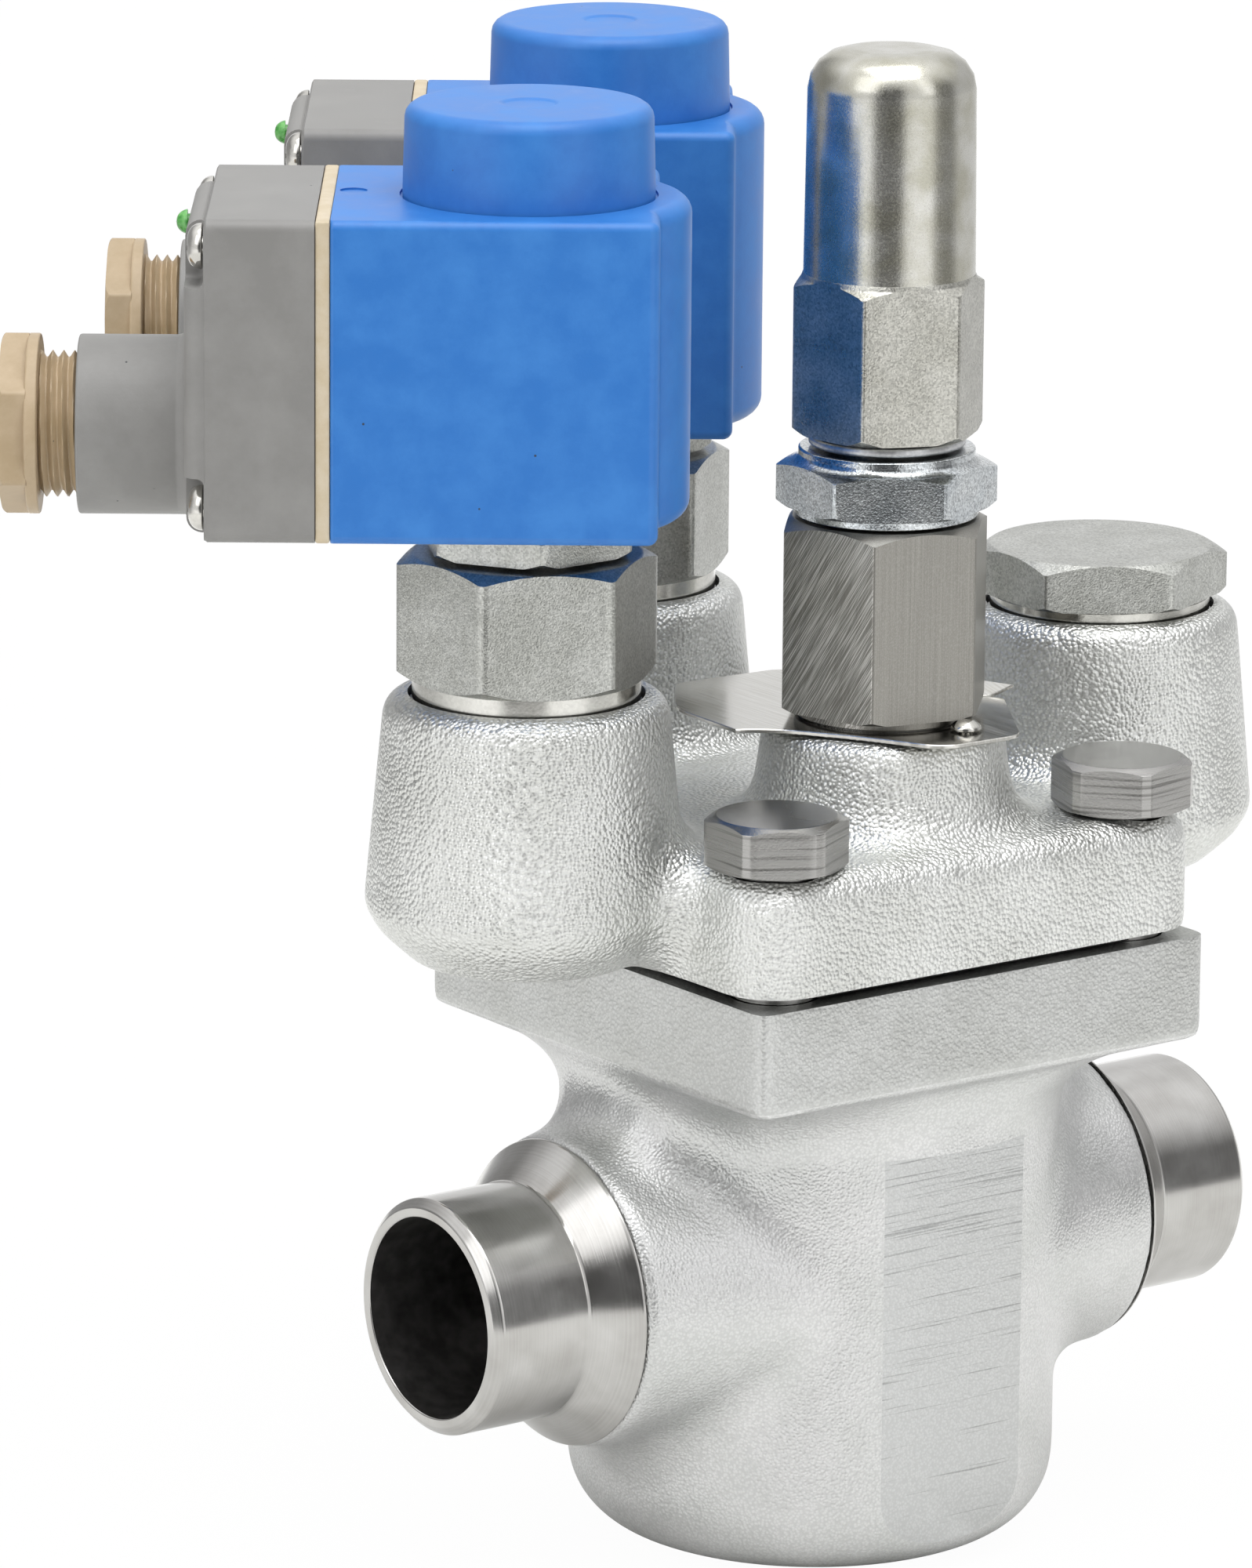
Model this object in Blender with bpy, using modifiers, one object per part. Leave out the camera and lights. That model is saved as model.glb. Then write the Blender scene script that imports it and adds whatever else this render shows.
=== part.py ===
"""Pilot-operated servo valve with two solenoid pilots, a blanked port and a manual spindle.

Frame: origin at the middle of the foot, +Z up, +X along the flow from inlet to outlet.
All lengths are in metres.
"""
import math

import bmesh
import bpy
from mathutils import Matrix, Vector

MM = 0.001
FIT = 0.3 * MM                  # clearance between pieces that touch
MERGE = 0.00001                 # merge distance for turned profiles

# Driving dimensions of the body
PIPE_Z = 41.0 * MM              # height of the pipe axis above the foot
PIPE_R = 16.85 * MM             # outside radius of a 33.7 mm pipe
PIPE_BORE_R = 14.25 * MM
PIPE_END_X = 67.5 * MM          # half of the length face to face
PIPE_END_BEVEL = 1.2 * MM
STUB_LENGTH = 15.9 * MM         # cylindrical stretch of each pipe end
STUB_CONE = 6.0 * MM            # machined cone behind the stub
PIPE_BOSS_R = 22.4 * MM
BODY_R = 35.0 * MM
BODY_FLAT_Y = 32.7 * MM         # distance of the two machined flats from the axis
BODY_FLAT_TOP = 62.4 * MM
FOOT_FILLET = 11.0 * MM
FLANGE_HALF = 39.5 * MM
FLANGE_CORNER = 3.0 * MM
FLANGE_TOP = 88.9 * MM
FLANGE_THICK = 15.2 * MM
LOWER_CHAMBER_R = 24.0 * MM
CYLINDER_WALL = 5.0 * MM        # of the insert, round the piston
CHAMBER_FLOOR = 6.0 * MM
SEAT_WALL_BOTTOM = 36.0 * MM    # wall between the chambers
SEAT_WALL_TOP = 42.0 * MM
SEAT_WALL_BORE_R = 16.6 * MM
INSERT_STEP = 3.9 * MM          # depth of the step that carries the insert's flange
INSERT_SHOULDER = 2.3 * MM      # how far the insert's flange stands out

# Driving dimensions of the cover
COVER_GAP = 1.5 * MM            # space of the cover gasket
COVER_THICK = 16.6 * MM
COVER_CORNER = 8.0 * MM
COVER_EDGE = 4.5 * MM           # rounding of the plate's upper edge
PORT_PITCH_R = 51.0 * MM        # distance of each pilot port from the body axis
PORT_RIM = 38.3 * MM            # height of the ports' rims above the cover's underside
PORT_BOSS_R = 22.3 * MM
PORT_BOSS_TOP_R = 19.7 * MM
PORT_BOSS_FOOT_R = 15.5 * MM
PORT_BOSS_FOOT = 0.4 * MM       # height of the boss's foot above the cover's underside
PORT_BOSS_WAIST = 8.0 * MM      # height of the boss's widest place
PORT_MOUTH_R = 16.5 * MM
PORT_MOUTH_DEPTH = 2.7 * MM
PORT_THREAD_R = 14.0 * MM
PORT_DEPTH = 25.0 * MM
PILOT_PASSAGE_R = 2.5 * MM
COVER_RECESS_R = 20.0 * MM
COVER_RECESS_DEPTH = 7.6 * MM
SPINDLE_Y = -14.9 * MM          # the manual spindle stands off the body axis
CENTRE_BOSS_R = 16.9 * MM
CENTRE_BOSS_FOOT_R = 18.2 * MM
CENTRE_BOSS_TOP = 30.3 * MM     # above the cover's underside
CENTRE_THREAD_R = 12.0 * MM
CENTRE_THREAD_DEPTH = 16.7 * MM
BOLT_PITCH = 30.6 * MM          # bolts at plus and minus this distance in X and Y
BOLT_R = 6.0 * MM
BOLT_HOLE_R = 6.7 * MM
BOLT_AF = 18.0 * MM
BOLT_HEAD = 7.2 * MM
BOLT_REACH = 12.5 * MM          # length of the shank inside the body

# Driving dimensions of the servo module
STROKE = 7.0 * MM
PISTON_R = 22.0 * MM
PISTON_LENGTH = 12.0 * MM
PISTON_TOP = 86.0 * MM
ROD_R = 4.0 * MM
PISTON_CLEARANCE = 3.0 * MM     # between the opened piston and the cylinder's plate
CYLINDER_PLATE = 3.2 * MM
CAGE_R = 18.5 * MM
CAGE_WALL = 3.0 * MM
SEAT_Z = 33.5 * MM
SEAT_BORE_R = 13.3 * MM
DISC_R = 18.6 * MM
DISC_THICK = 6.7 * MM
SPRING_R = 11.0 * MM
SPRING_WIRE_R = 1.4 * MM
SPRING_TURNS = 4.5

# Driving dimensions of the manual spindle and its housing
HOUSING_AF = 27.0 * MM
HOUSING_HEX = 27.0 * MM
HOUSING_COLLAR_R = 12.5 * MM
HOUSING_NECK_R = 8.2 * MM
HOUSING_NECK = 26.0 * MM
LOCK_NUT_AF = 27.0 * MM
LOCK_NUT_HEX = 6.2 * MM
LOCK_NUT_COLLAR = 1.3 * MM      # turned collar under the nut's hexagon
LOCK_NUT_COLLAR_R = 12.9 * MM
CAP_AF = 24.0 * MM
CAP_HEX = 21.2 * MM
CAP_DOME_R = 11.9 * MM
CAP_HEIGHT = 54.0 * MM
CAP_WALL = 2.4 * MM
CAP_TRAVEL = 6.0 * MM
SPINDLE_R = 4.0 * MM
SPINDLE_LAND_R = 5.7 * MM
SPINDLE_TRAVEL = 6.0 * MM
SPINDLE_TIP_GAP = 0.6 * MM      # from the spindle's tip to the piston when wound in

# Driving dimensions of the pilots, heights above the port's rim
PORT_AF = 32.0 * MM
PORT_TURNED_R = 18.1 * MM
PILOT_COLLAR_R = 15.9 * MM
PILOT_COLLAR = 2.3 * MM
PILOT_HEX = 17.5 * MM
PLUG_COLLAR = 1.5 * MM
PLUG_HEX = 6.9 * MM
TUBE_NUT_AF = 27.0 * MM
TUBE_NUT_HEX = 4.9 * MM
TUBE_R = 7.5 * MM
TUBE_WALL = 0.8 * MM
TUBE_TOP = 65.3 * MM
CORE_LENGTH = 10.0 * MM
ARMATURE_TRAVEL = 2.0 * MM
ARMATURE_STOP_GAP = 6.0 * MM    # left between the lifted armature and the core

# Driving dimensions of the coils, heights above the port's rim
COIL_BOTTOM = 25.3 * MM
COIL_HEIGHT = 44.5 * MM
COIL_HALF = 22.3 * MM
COIL_BACK = 17.9 * MM           # from the tube's axis to the box's back face
COIL_FRONT = 26.5 * MM          # from the tube's axis to the terminal face
COIL_KNOB_R = 17.1 * MM
COIL_KNOB = 12.6 * MM
COIL_TURN = math.radians(143.6)  # direction of the terminal boxes from +X
WINDING_R = 16.0 * MM
TERMINAL_GASKET = 1.5 * MM
TERMINAL_COVER = 15.2 * MM
TERMINAL_STEP = 2.8 * MM        # shallow raised field of the cover's end
TERMINAL_WALL = 2.6 * MM
GLAND_Z = 12.0 * MM             # height of the gland's axis above the coil's bottom
GLAND_BOSS_R = 12.35 * MM
GLAND_BOSS_END = 61.6 * MM      # from the tube's axis
GLAND_THREAD_R = 10.1 * MM
GLAND_NUT_AF = 22.0 * MM
GLAND_NUT_SHOWN = 5.3 * MM      # thread in view between boss and collar
GLAND_NUT_TRAVEL = 4.8 * MM
GLAND_CABLE_R = 5.5 * MM
SCREW_PITCH = 18.0 * MM         # terminal screws at plus and minus this distance

# Sizes that follow from the ones above
UPPER_CHAMBER_R = PISTON_R + CYLINDER_WALL
INSERT_STEP_R = UPPER_CHAMBER_R + INSERT_SHOULDER
CYLINDER_PLATE_TOP = PISTON_TOP - PISTON_LENGTH - STROKE - PISTON_CLEARANCE
FLANGE_BOTTOM = FLANGE_TOP - FLANGE_THICK
COVER_Z = FLANGE_TOP + COVER_GAP
PLATE_TOP = COVER_Z + COVER_THICK
RIM_Z = COVER_Z + PORT_RIM
CENTRE_TOP = COVER_Z + CENTRE_BOSS_TOP
PORTS = {"front": Vector((-PORT_PITCH_R, 0.0, 0.0)), "back": Vector((0.0, PORT_PITCH_R, 0.0))}
PLUG_PORT = Vector((PORT_PITCH_R, 0.0, 0.0))
SPINDLE_AXIS = Vector((0.0, SPINDLE_Y, 0.0))

STEPS_LARGE = 24               # castings and coils
STEPS_MID = 18                 # turned pieces, a multiple of six
STEPS_SMALL = 12               # small pieces


def clear_scene():
    """Remove whatever the scene holds."""
    for item in list(bpy.data.objects):
        bpy.data.objects.remove(item, do_unlink=True)


def make_collection(name):
    collection = bpy.data.collections.new(name)
    bpy.context.scene.collection.children.link(collection)
    return collection


def make_material(name, color, metallic, roughness):
    """A Principled BSDF material from a linear colour."""
    material = bpy.data.materials.new(name)
    material.use_nodes = True
    shader = material.node_tree.nodes["Principled BSDF"]
    shader.inputs["Base Color"].default_value = (*color, 1.0)
    shader.inputs["Metallic"].default_value = metallic
    shader.inputs["Roughness"].default_value = roughness
    return material


clear_scene()
PARTS = make_collection("servo_valve")
CUTTERS = make_collection("cutters")
ZINC_CAST = make_material("zinc_plated_casting", (0.60, 0.62, 0.58), 0.9, 0.45)
ZINC = make_material("zinc_plated_steel", (0.62, 0.62, 0.58), 1.0, 0.35)
STAINLESS = make_material("stainless_steel", (0.55, 0.54, 0.51), 1.0, 0.30)
BLUE = make_material("blue_polymer", (0.05, 0.23, 0.65), 0.0, 0.50)
GREY = make_material("grey_polymer", (0.32, 0.32, 0.30), 0.0, 0.55)
BEIGE = make_material("beige_polymer", (0.58, 0.43, 0.26), 0.0, 0.50)
IVORY = make_material("ivory_rubber", (0.83, 0.71, 0.49), 0.0, 0.60)
GREEN = make_material("green_lens", (0.15, 0.50, 0.10), 0.0, 0.20)
RUBBER = make_material("black_rubber", (0.02, 0.02, 0.02), 0.0, 0.70)
FIBRE = make_material("fibre_gasket", (0.05, 0.05, 0.05), 0.0, 0.80)
PTFE = make_material("ptfe", (0.80, 0.80, 0.76), 0.0, 0.50)
COPPER = make_material("copper_winding", (0.70, 0.28, 0.12), 1.0, 0.40)
ALUMINIUM = make_material("aluminium_gasket", (0.70, 0.70, 0.70), 1.0, 0.40)


def add_object(name, mesh, material=None, location=(0, 0, 0), turn=0.0):
    """Link a mesh as a sub-part, or as a cutter where it has no material."""
    item = bpy.data.objects.new(name, mesh)
    item.location = location
    item.rotation_euler = (0.0, 0.0, turn)
    if material is None:
        CUTTERS.objects.link(item)
        item.hide_render = True
        item.display_type = "WIRE"
    else:
        mesh.materials.append(material)
        PARTS.objects.link(item)
    return item


def profile_mesh(name, points, closed, phase):
    """An upright outline at one angle about the axis, for a Screw modifier."""
    mesh = bpy.data.meshes.new(name)
    edges = [(i, i + 1) for i in range(len(points) - 1)]
    if closed:
        edges.append((len(points) - 1, 0))
    mesh.from_pydata([(x * math.cos(phase), x * math.sin(phase), z) for x, z in points], edges, [])
    return mesh


def turned(name, points, material=None, location=(0, 0, 0), steps=STEPS_MID, phase=0.0):
    """A turned solid. The points run down the outer side; a profile off the axis closes on itself."""
    closed = min(x for x, z in points) > MERGE
    item = add_object(name, profile_mesh(name, points, closed, phase), material, location)
    screw = item.modifiers.new("turn", "SCREW")
    screw.steps = steps
    screw.render_steps = steps
    screw.use_merge_vertices = True
    screw.merge_threshold = MERGE
    screw.use_smooth_shade = False
    return item


def ring(name, inner, outer, bottom, top, material=None, location=(0, 0, 0), steps=STEPS_MID, phase=0.0):
    """A plain turned ring, or a disc where the inner radius is zero."""
    points = [(inner, top), (outer, top), (outer, bottom), (inner, bottom)]
    return turned(name, points, material, location, steps, phase)


def torus(name, major, minor, height, material, location=(0, 0, 0), steps=STEPS_MID, sides=6):
    """An O-ring about the vertical axis."""
    points = []
    for i in range(sides):
        angle = math.pi / 2 - 2 * math.pi * i / sides
        points.append((major + minor * math.cos(angle), height + minor * math.sin(angle)))
    return turned(name, points, material, location, steps)


def hexagon(name, across, bottom, top, location, turn):
    """A hexagonal bar to cut with; turn is the direction of one corner."""
    mesh = bpy.data.meshes.new(name)
    shape = bmesh.new()
    bmesh.ops.create_cone(shape, cap_ends=True, segments=6, radius1=across / math.sqrt(3),
                          radius2=across / math.sqrt(3), depth=top - bottom)
    bmesh.ops.translate(shape, verts=shape.verts, vec=(0, 0, (top + bottom) / 2))
    shape.to_mesh(mesh)
    shape.free()
    return add_object(name, mesh, None, location, turn)


def box(name, low, high, material=None, location=(0, 0, 0), turn=0.0, bevel=0.0, segments=2):
    """A box between two corners, with rounded edges where bevel is given."""
    mesh = bpy.data.meshes.new(name)
    shape = bmesh.new()
    bmesh.ops.create_cube(shape, size=1.0)
    size = [b - a for a, b in zip(low, high)]
    middle = [(a + b) / 2 for a, b in zip(low, high)]
    bmesh.ops.scale(shape, verts=shape.verts, vec=size)
    bmesh.ops.translate(shape, verts=shape.verts, vec=middle)
    if bevel > 0:
        bmesh.ops.bevel(shape, geom=list(shape.edges), offset=bevel, segments=segments, profile=0.5,
                        affect="EDGES", material=-1)
    shape.to_mesh(mesh)
    shape.free()
    return add_object(name, mesh, material, location, turn)


def round_plate(name, half, corner, bottom, top, material=None, edge=0.0):
    """A square plate with round vertical corners and, where edge is given, a rounded upper rim."""
    mesh = bpy.data.meshes.new(name)
    shape = bmesh.new()
    bmesh.ops.create_cube(shape, size=1.0)
    bmesh.ops.scale(shape, verts=shape.verts, vec=(2 * half, 2 * half, top - bottom))
    bmesh.ops.translate(shape, verts=shape.verts, vec=(0, 0, (top + bottom) / 2))
    upright = [e for e in shape.edges if abs(e.verts[0].co.z - e.verts[1].co.z) > MERGE]
    bmesh.ops.bevel(shape, geom=upright, offset=corner, segments=3, profile=0.5, affect="EDGES", material=-1)
    if edge > 0:
        rim = [e for e in shape.edges if min(v.co.z for v in e.verts) > top - MERGE]
        bmesh.ops.bevel(shape, geom=rim, offset=edge, segments=3, profile=0.5, affect="EDGES", material=-1)
    shape.to_mesh(mesh)
    shape.free()
    return add_object(name, mesh, material)


def boolean(item, cutter, operation="DIFFERENCE"):
    """Cut, join or keep what is common."""
    modifier = item.modifiers.new(cutter.name, "BOOLEAN")
    modifier.operation = operation
    modifier.object = cutter
    return item


def lay_along_x(item, centre_z, flip=False):
    """Turn a solid about the vertical axis into one about a line along X."""
    angle = -math.pi / 2 if flip else math.pi / 2
    item.rotation_euler = (0.0, angle, 0.0)
    item.location = (0.0, 0.0, centre_z)
    return item


def turned_hex(name, points, material, across, location=(0, 0, 0), turn=0.0, steps=STEPS_MID):
    """A piece turned from hexagonal bar: the profile, kept inside the bar."""
    item = turned(name, points, material, location, steps, turn)
    heights = [z for x, z in points]
    bar = hexagon(name + "_bar", across, min(heights) - MM, max(heights) + MM, location, turn)
    return boolean(item, bar, "INTERSECT")


def arc(centre_x, centre_z, radius, start, end, count):
    """Points of an arc in a profile, angles in degrees."""
    points = []
    for i in range(count + 1):
        angle = math.radians(start + (end - start) * i / count)
        points.append((centre_x + radius * math.cos(angle), centre_z + radius * math.sin(angle)))
    return points


def loft(name, rings, material=None):
    """A closed solid through rings of equal count, from the first ring to the last."""
    mesh = bpy.data.meshes.new(name)
    shape = bmesh.new()
    loops = [[shape.verts.new(p) for p in points] for points in rings]
    count = len(loops[0])
    for low, high in zip(loops, loops[1:]):
        for i in range(count):
            j = (i + 1) % count
            shape.faces.new((low[i], low[j], high[j], high[i]))
    shape.faces.new(list(reversed(loops[0])))
    shape.faces.new(loops[-1])
    bmesh.ops.recalc_face_normals(shape, faces=shape.faces)
    shape.to_mesh(mesh)
    shape.free()
    return add_object(name, mesh, material)


def helix(name, radius, wire, bottom, top, turns, material, location=(0, 0, 0), per_turn=8, sides=1):
    """A compression spring whose wire starts and ends inside the given heights."""
    curve = bpy.data.curves.new(name, "CURVE")
    curve.dimensions = "3D"
    curve.bevel_depth = wire
    curve.bevel_resolution = sides
    curve.use_fill_caps = True
    spline = curve.splines.new("POLY")
    count = int(turns * per_turn)
    spline.points.add(count)
    rise = (top - bottom - 2 * wire)
    for i, point in enumerate(spline.points):
        angle = 2 * math.pi * i / per_turn
        share = i / count
        eased = share - math.sin(2 * math.pi * share) / (2 * math.pi) * 0.6
        height = bottom + wire + rise * eased
        point.co = (radius * math.cos(angle), radius * math.sin(angle), height, 1.0)
    item = bpy.data.objects.new(name, curve)
    item.location = location
    curve.materials.append(material)
    PARTS.objects.link(item)
    return item


# Body

def square_radius(angle, half, corner):
    """Distance from the centre to a rounded square, in one direction."""
    folded = abs((angle + math.pi / 4) % (math.pi / 2) - math.pi / 4)
    if half * math.tan(folded) <= half - corner:
        return half / math.cos(folded)
    middle = half - corner
    along = middle * (math.cos(folded) + math.sin(folded))
    return along + math.sqrt(max(along * along - 2 * middle * middle + corner * corner, 0.0))


def column_rings():
    """Rings of the outer body: foot fillet, column with two flats, and the flare under the flange."""
    angles = [math.radians(10.0 * i) for i in range(36)]
    levels = []
    for radius, height in arc(BODY_R - FOOT_FILLET, FOOT_FILLET, FOOT_FILLET, -90, 0, 3):
        levels.append((height, radius, radius, True))
    levels.append((BODY_FLAT_TOP - 1.0 * MM, BODY_R, BODY_R, True))
    levels.append((BODY_FLAT_TOP + 0.4 * MM, BODY_R, BODY_R, False))
    flare_start = BODY_FLAT_TOP + 0.4 * MM
    flare = FLANGE_BOTTOM - flare_start
    for i in range(1, 4):
        share = i / 3
        height = flare_start + flare * share
        eased = 1 - math.sqrt(max(1 - share * share, 0.0))
        half = BODY_R + (FLANGE_HALF - 1.5 * MM - BODY_R) * eased
        corner = BODY_R + (FLANGE_CORNER + 4 * MM - BODY_R) * eased
        levels.append((height, half, corner, False))
    levels.append((FLANGE_BOTTOM + 3 * MM, FLANGE_HALF - 1.5 * MM, FLANGE_CORNER + 4 * MM, False))
    rings = []
    for height, half, corner, flat in levels:
        points = []
        for angle in angles:
            radius = square_radius(angle, half, min(corner, half))
            if flat and abs(math.sin(angle)) > 0.5:
                radius = min(radius, BODY_FLAT_Y / abs(math.sin(angle)))
            points.append((radius * math.cos(angle), radius * math.sin(angle), height))
        rings.append(points)
    return rings


def barrel_rings():
    """Sections along the flow: round at the pipe bosses, swelling sideways into the column."""
    end_x = PIPE_END_X - STUB_LENGTH - STUB_CONE
    count = 8
    rings = []
    for i in range(count + 1):
        x = -end_x + 2 * end_x * i / count
        swell = math.cos(math.pi / 2 * x / end_x) ** 1.3 if abs(x) < end_x - MERGE else 0.0
        half_width = PIPE_BOSS_R + (BODY_FLAT_Y - 0.8 * MM - PIPE_BOSS_R) * swell
        half_height = PIPE_BOSS_R - 1.5 * MM * swell
        points = []
        for k in range(20):
            angle = 2 * math.pi * k / 20
            points.append((x, half_width * math.cos(angle), PIPE_Z + half_height * math.sin(angle)))
        rings.append(points)
    return rings


def pipe_end_profile():
    """Outer side of a pipe end, from its face down to the boss inside the body."""
    face = PIPE_END_X
    cone = PIPE_END_X - STUB_LENGTH
    boss = cone - STUB_CONE
    return [(0.0, face), (PIPE_R - PIPE_END_BEVEL, face), (PIPE_R, face - PIPE_END_BEVEL), (PIPE_R, cone),
            (PIPE_BOSS_R - 0.5 * MM, boss + 0.8 * MM), (PIPE_BOSS_R - 0.5 * MM, boss - 2 * MM),
            (0.0, boss - 2 * MM)]


def passage_rings(side, inner_x, inner_z, half_width, half_height):
    """Sections of the cored passage from a pipe bore to its chamber."""
    outer_x = PIPE_END_X - STUB_LENGTH - STUB_CONE + MM
    start_r = PIPE_BORE_R - 1.0 * MM
    rings = []
    count = 4
    for i in range(count + 1):
        share = i / count
        eased = share * share * (3 - 2 * share)
        x = outer_x + (inner_x - outer_x) * share
        z = PIPE_Z + (inner_z - PIPE_Z) * eased
        wide = start_r + (half_width - start_r) * eased
        high = start_r + (half_height - start_r) * eased
        points = []
        for k in range(16):
            angle = 2 * math.pi * (k + 0.5) / 16
            points.append((side * x, wide * math.cos(angle), z + high * math.sin(angle)))
        rings.append(points)
    return rings


def bolt_places():
    return [(sx * BOLT_PITCH, sy * BOLT_PITCH, 0.0) for sx in (-1, 1) for sy in (-1, 1)]


def build_body():
    body = loft("valve_body", column_rings(), ZINC_CAST)
    flange = round_plate("flange_block", FLANGE_HALF, FLANGE_CORNER, FLANGE_BOTTOM, FLANGE_TOP)
    boolean(body, flange, "UNION")
    boolean(body, loft("flow_barrel", barrel_rings()), "UNION")
    for flip in (False, True):
        end = turned("pipe_end", pipe_end_profile(), steps=STEPS_LARGE)
        boolean(body, lay_along_x(end, PIPE_Z, flip), "UNION")
    lower = ring("lower_chamber", 0.0, LOWER_CHAMBER_R, CHAMBER_FLOOR, SEAT_WALL_BOTTOM, steps=STEPS_MID)
    upper = turned("upper_chamber", [
        (0.0, FLANGE_TOP + MM), (INSERT_STEP_R, FLANGE_TOP + MM),
        (INSERT_STEP_R, FLANGE_TOP - INSERT_STEP - FIT),
        (UPPER_CHAMBER_R, FLANGE_TOP - INSERT_STEP - FIT), (UPPER_CHAMBER_R, SEAT_WALL_TOP),
        (SEAT_WALL_BORE_R, SEAT_WALL_TOP), (SEAT_WALL_BORE_R, SEAT_WALL_BOTTOM - MM),
        (0.0, SEAT_WALL_BOTTOM - MM)], steps=STEPS_LARGE)
    boolean(body, lower)
    boolean(body, upper)
    for side in (-1, 1):
        reach = PIPE_END_X - STUB_LENGTH - STUB_CONE - 0.5 * MM
        bore = ring("pipe_bore", 0.0, PIPE_BORE_R, reach, PIPE_END_X + MM, phase=math.radians(5.0))
        boolean(body, lay_along_x(bore, PIPE_Z, side < 0))
    inlet = loft("inlet_passage", passage_rings(-1, 21 * MM, 25.0 * MM, 16 * MM, 9 * MM))
    outlet = loft("outlet_passage", passage_rings(1, 23 * MM, 54.0 * MM, 17 * MM, 8 * MM))
    boolean(body, inlet)
    boolean(body, outlet)
    for place in bolt_places():
        depth = FLANGE_TOP - BOLT_REACH - 0.5 * MM
        hole = ring("bolt_thread", 0.0, BOLT_R + FIT, depth, FLANGE_TOP + MM, None, place, 12)
        boolean(body, hole)


# Cover

def port_boss_profile():
    """A pilot boss: turned-in foot, widest above it, tapering to a rounded rim."""
    top_round = 3.0 * MM
    points = [(0.0, RIM_Z), (PORT_BOSS_TOP_R - top_round, RIM_Z)]
    points += arc(PORT_BOSS_TOP_R - top_round, RIM_Z - top_round, top_round, 60, 0, 2)
    points += [(PORT_BOSS_R, COVER_Z + PORT_BOSS_WAIST),
               (PORT_BOSS_R - 1.2 * MM, COVER_Z + 0.7 * PORT_BOSS_WAIST),
               (PORT_BOSS_FOOT_R, COVER_Z + PORT_BOSS_FOOT), (0.0, COVER_Z + PORT_BOSS_FOOT)]
    return points


def centre_boss_profile():
    """The spindle's boss, flaring into the plate."""
    foot = PLATE_TOP - MM
    return [(0.0, CENTRE_TOP), (CENTRE_BOSS_R - 0.8 * MM, CENTRE_TOP), (CENTRE_BOSS_R, CENTRE_TOP - 0.8 * MM),
            (CENTRE_BOSS_FOOT_R, PLATE_TOP + 4 * MM), (CENTRE_BOSS_FOOT_R + 1.6 * MM, PLATE_TOP + 1.2 * MM),
            (CENTRE_BOSS_FOOT_R + 3.0 * MM, foot), (0.0, foot)]


def port_bore_profile():
    floor = RIM_Z - PORT_DEPTH
    return [(0.0, RIM_Z + MM), (PORT_MOUTH_R, RIM_Z + MM), (PORT_MOUTH_R, RIM_Z - PORT_MOUTH_DEPTH),
            (PORT_THREAD_R, RIM_Z - PORT_MOUTH_DEPTH), (PORT_THREAD_R, floor + 3 * MM),
            (PILOT_PASSAGE_R * 1.6, floor), (0.0, floor)]


def slanted_bore(name, start, end, radius):
    """A drilled passage between two points."""
    mesh = bpy.data.meshes.new(name)
    shape = bmesh.new()
    way = Vector(end) - Vector(start)
    bmesh.ops.create_cone(shape, cap_ends=True, segments=8, radius1=radius, radius2=radius,
                          depth=way.length)
    turn = way.to_track_quat("Z", "Y").to_matrix().to_4x4()
    middle = (Vector(start) + Vector(end)) / 2
    bmesh.ops.transform(shape, verts=shape.verts, matrix=Matrix.Translation(middle) @ turn)
    shape.to_mesh(mesh)
    shape.free()
    return add_object(name, mesh)


def build_cover():
    cover = round_plate("top_cover", FLANGE_HALF, COVER_CORNER, COVER_Z, PLATE_TOP, ZINC_CAST, COVER_EDGE)
    ports = [*PORTS.values(), PLUG_PORT]
    for place in ports:
        boolean(cover, turned("port_boss", port_boss_profile(), None, place, STEPS_LARGE), "UNION")
    boolean(cover, turned("centre_boss", centre_boss_profile(), None, SPINDLE_AXIS, STEPS_MID), "UNION")
    recess_top = COVER_Z + COVER_RECESS_DEPTH
    boolean(cover, ring("cover_recess", 0.0, COVER_RECESS_R, COVER_Z - MM, recess_top, steps=STEPS_MID,
                        phase=math.radians(7.0)))
    for place in ports:
        boolean(cover, turned("port_bore", port_bore_profile(), None, place, STEPS_MID, math.radians(4.0)))
        start = place + Vector((0, 0, RIM_Z - PORT_DEPTH + 3.2 * MM))
        end = place.normalized() * (COVER_RECESS_R - 2 * MM) + Vector((0, 0, COVER_Z + 3.5 * MM))
        boolean(cover, slanted_bore("pilot_passage", start, end, PILOT_PASSAGE_R))
    thread_floor = CENTRE_TOP - CENTRE_THREAD_DEPTH
    boolean(cover, ring("centre_thread", 0.0, CENTRE_THREAD_R, thread_floor, CENTRE_TOP + MM, None,
                        SPINDLE_AXIS, STEPS_MID))
    boolean(cover, ring("spindle_hole", 0.0, SPINDLE_R + 0.6 * MM, recess_top - MM, thread_floor + MM, None,
                        SPINDLE_AXIS, STEPS_SMALL))
    for place in bolt_places():
        boolean(cover, ring("bolt_way", 0.0, BOLT_HOLE_R, COVER_Z - MM, PLATE_TOP + MM, None, place, 12))


def build_cover_gasket():
    gasket = round_plate("cover_gasket", FLANGE_HALF - 3 * MM, COVER_CORNER - 2 * MM, FLANGE_TOP + FIT,
                         COVER_Z - FIT, FIBRE)
    bore = ring("gasket_bore", 0.0, INSERT_STEP_R, FLANGE_TOP - MM, COVER_Z + MM, steps=STEPS_MID)
    boolean(gasket, bore)
    for place in bolt_places():
        boolean(gasket, ring("gasket_hole", 0.0, BOLT_HOLE_R, FLANGE_TOP - MM, COVER_Z + MM, None, place, 12))


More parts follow.
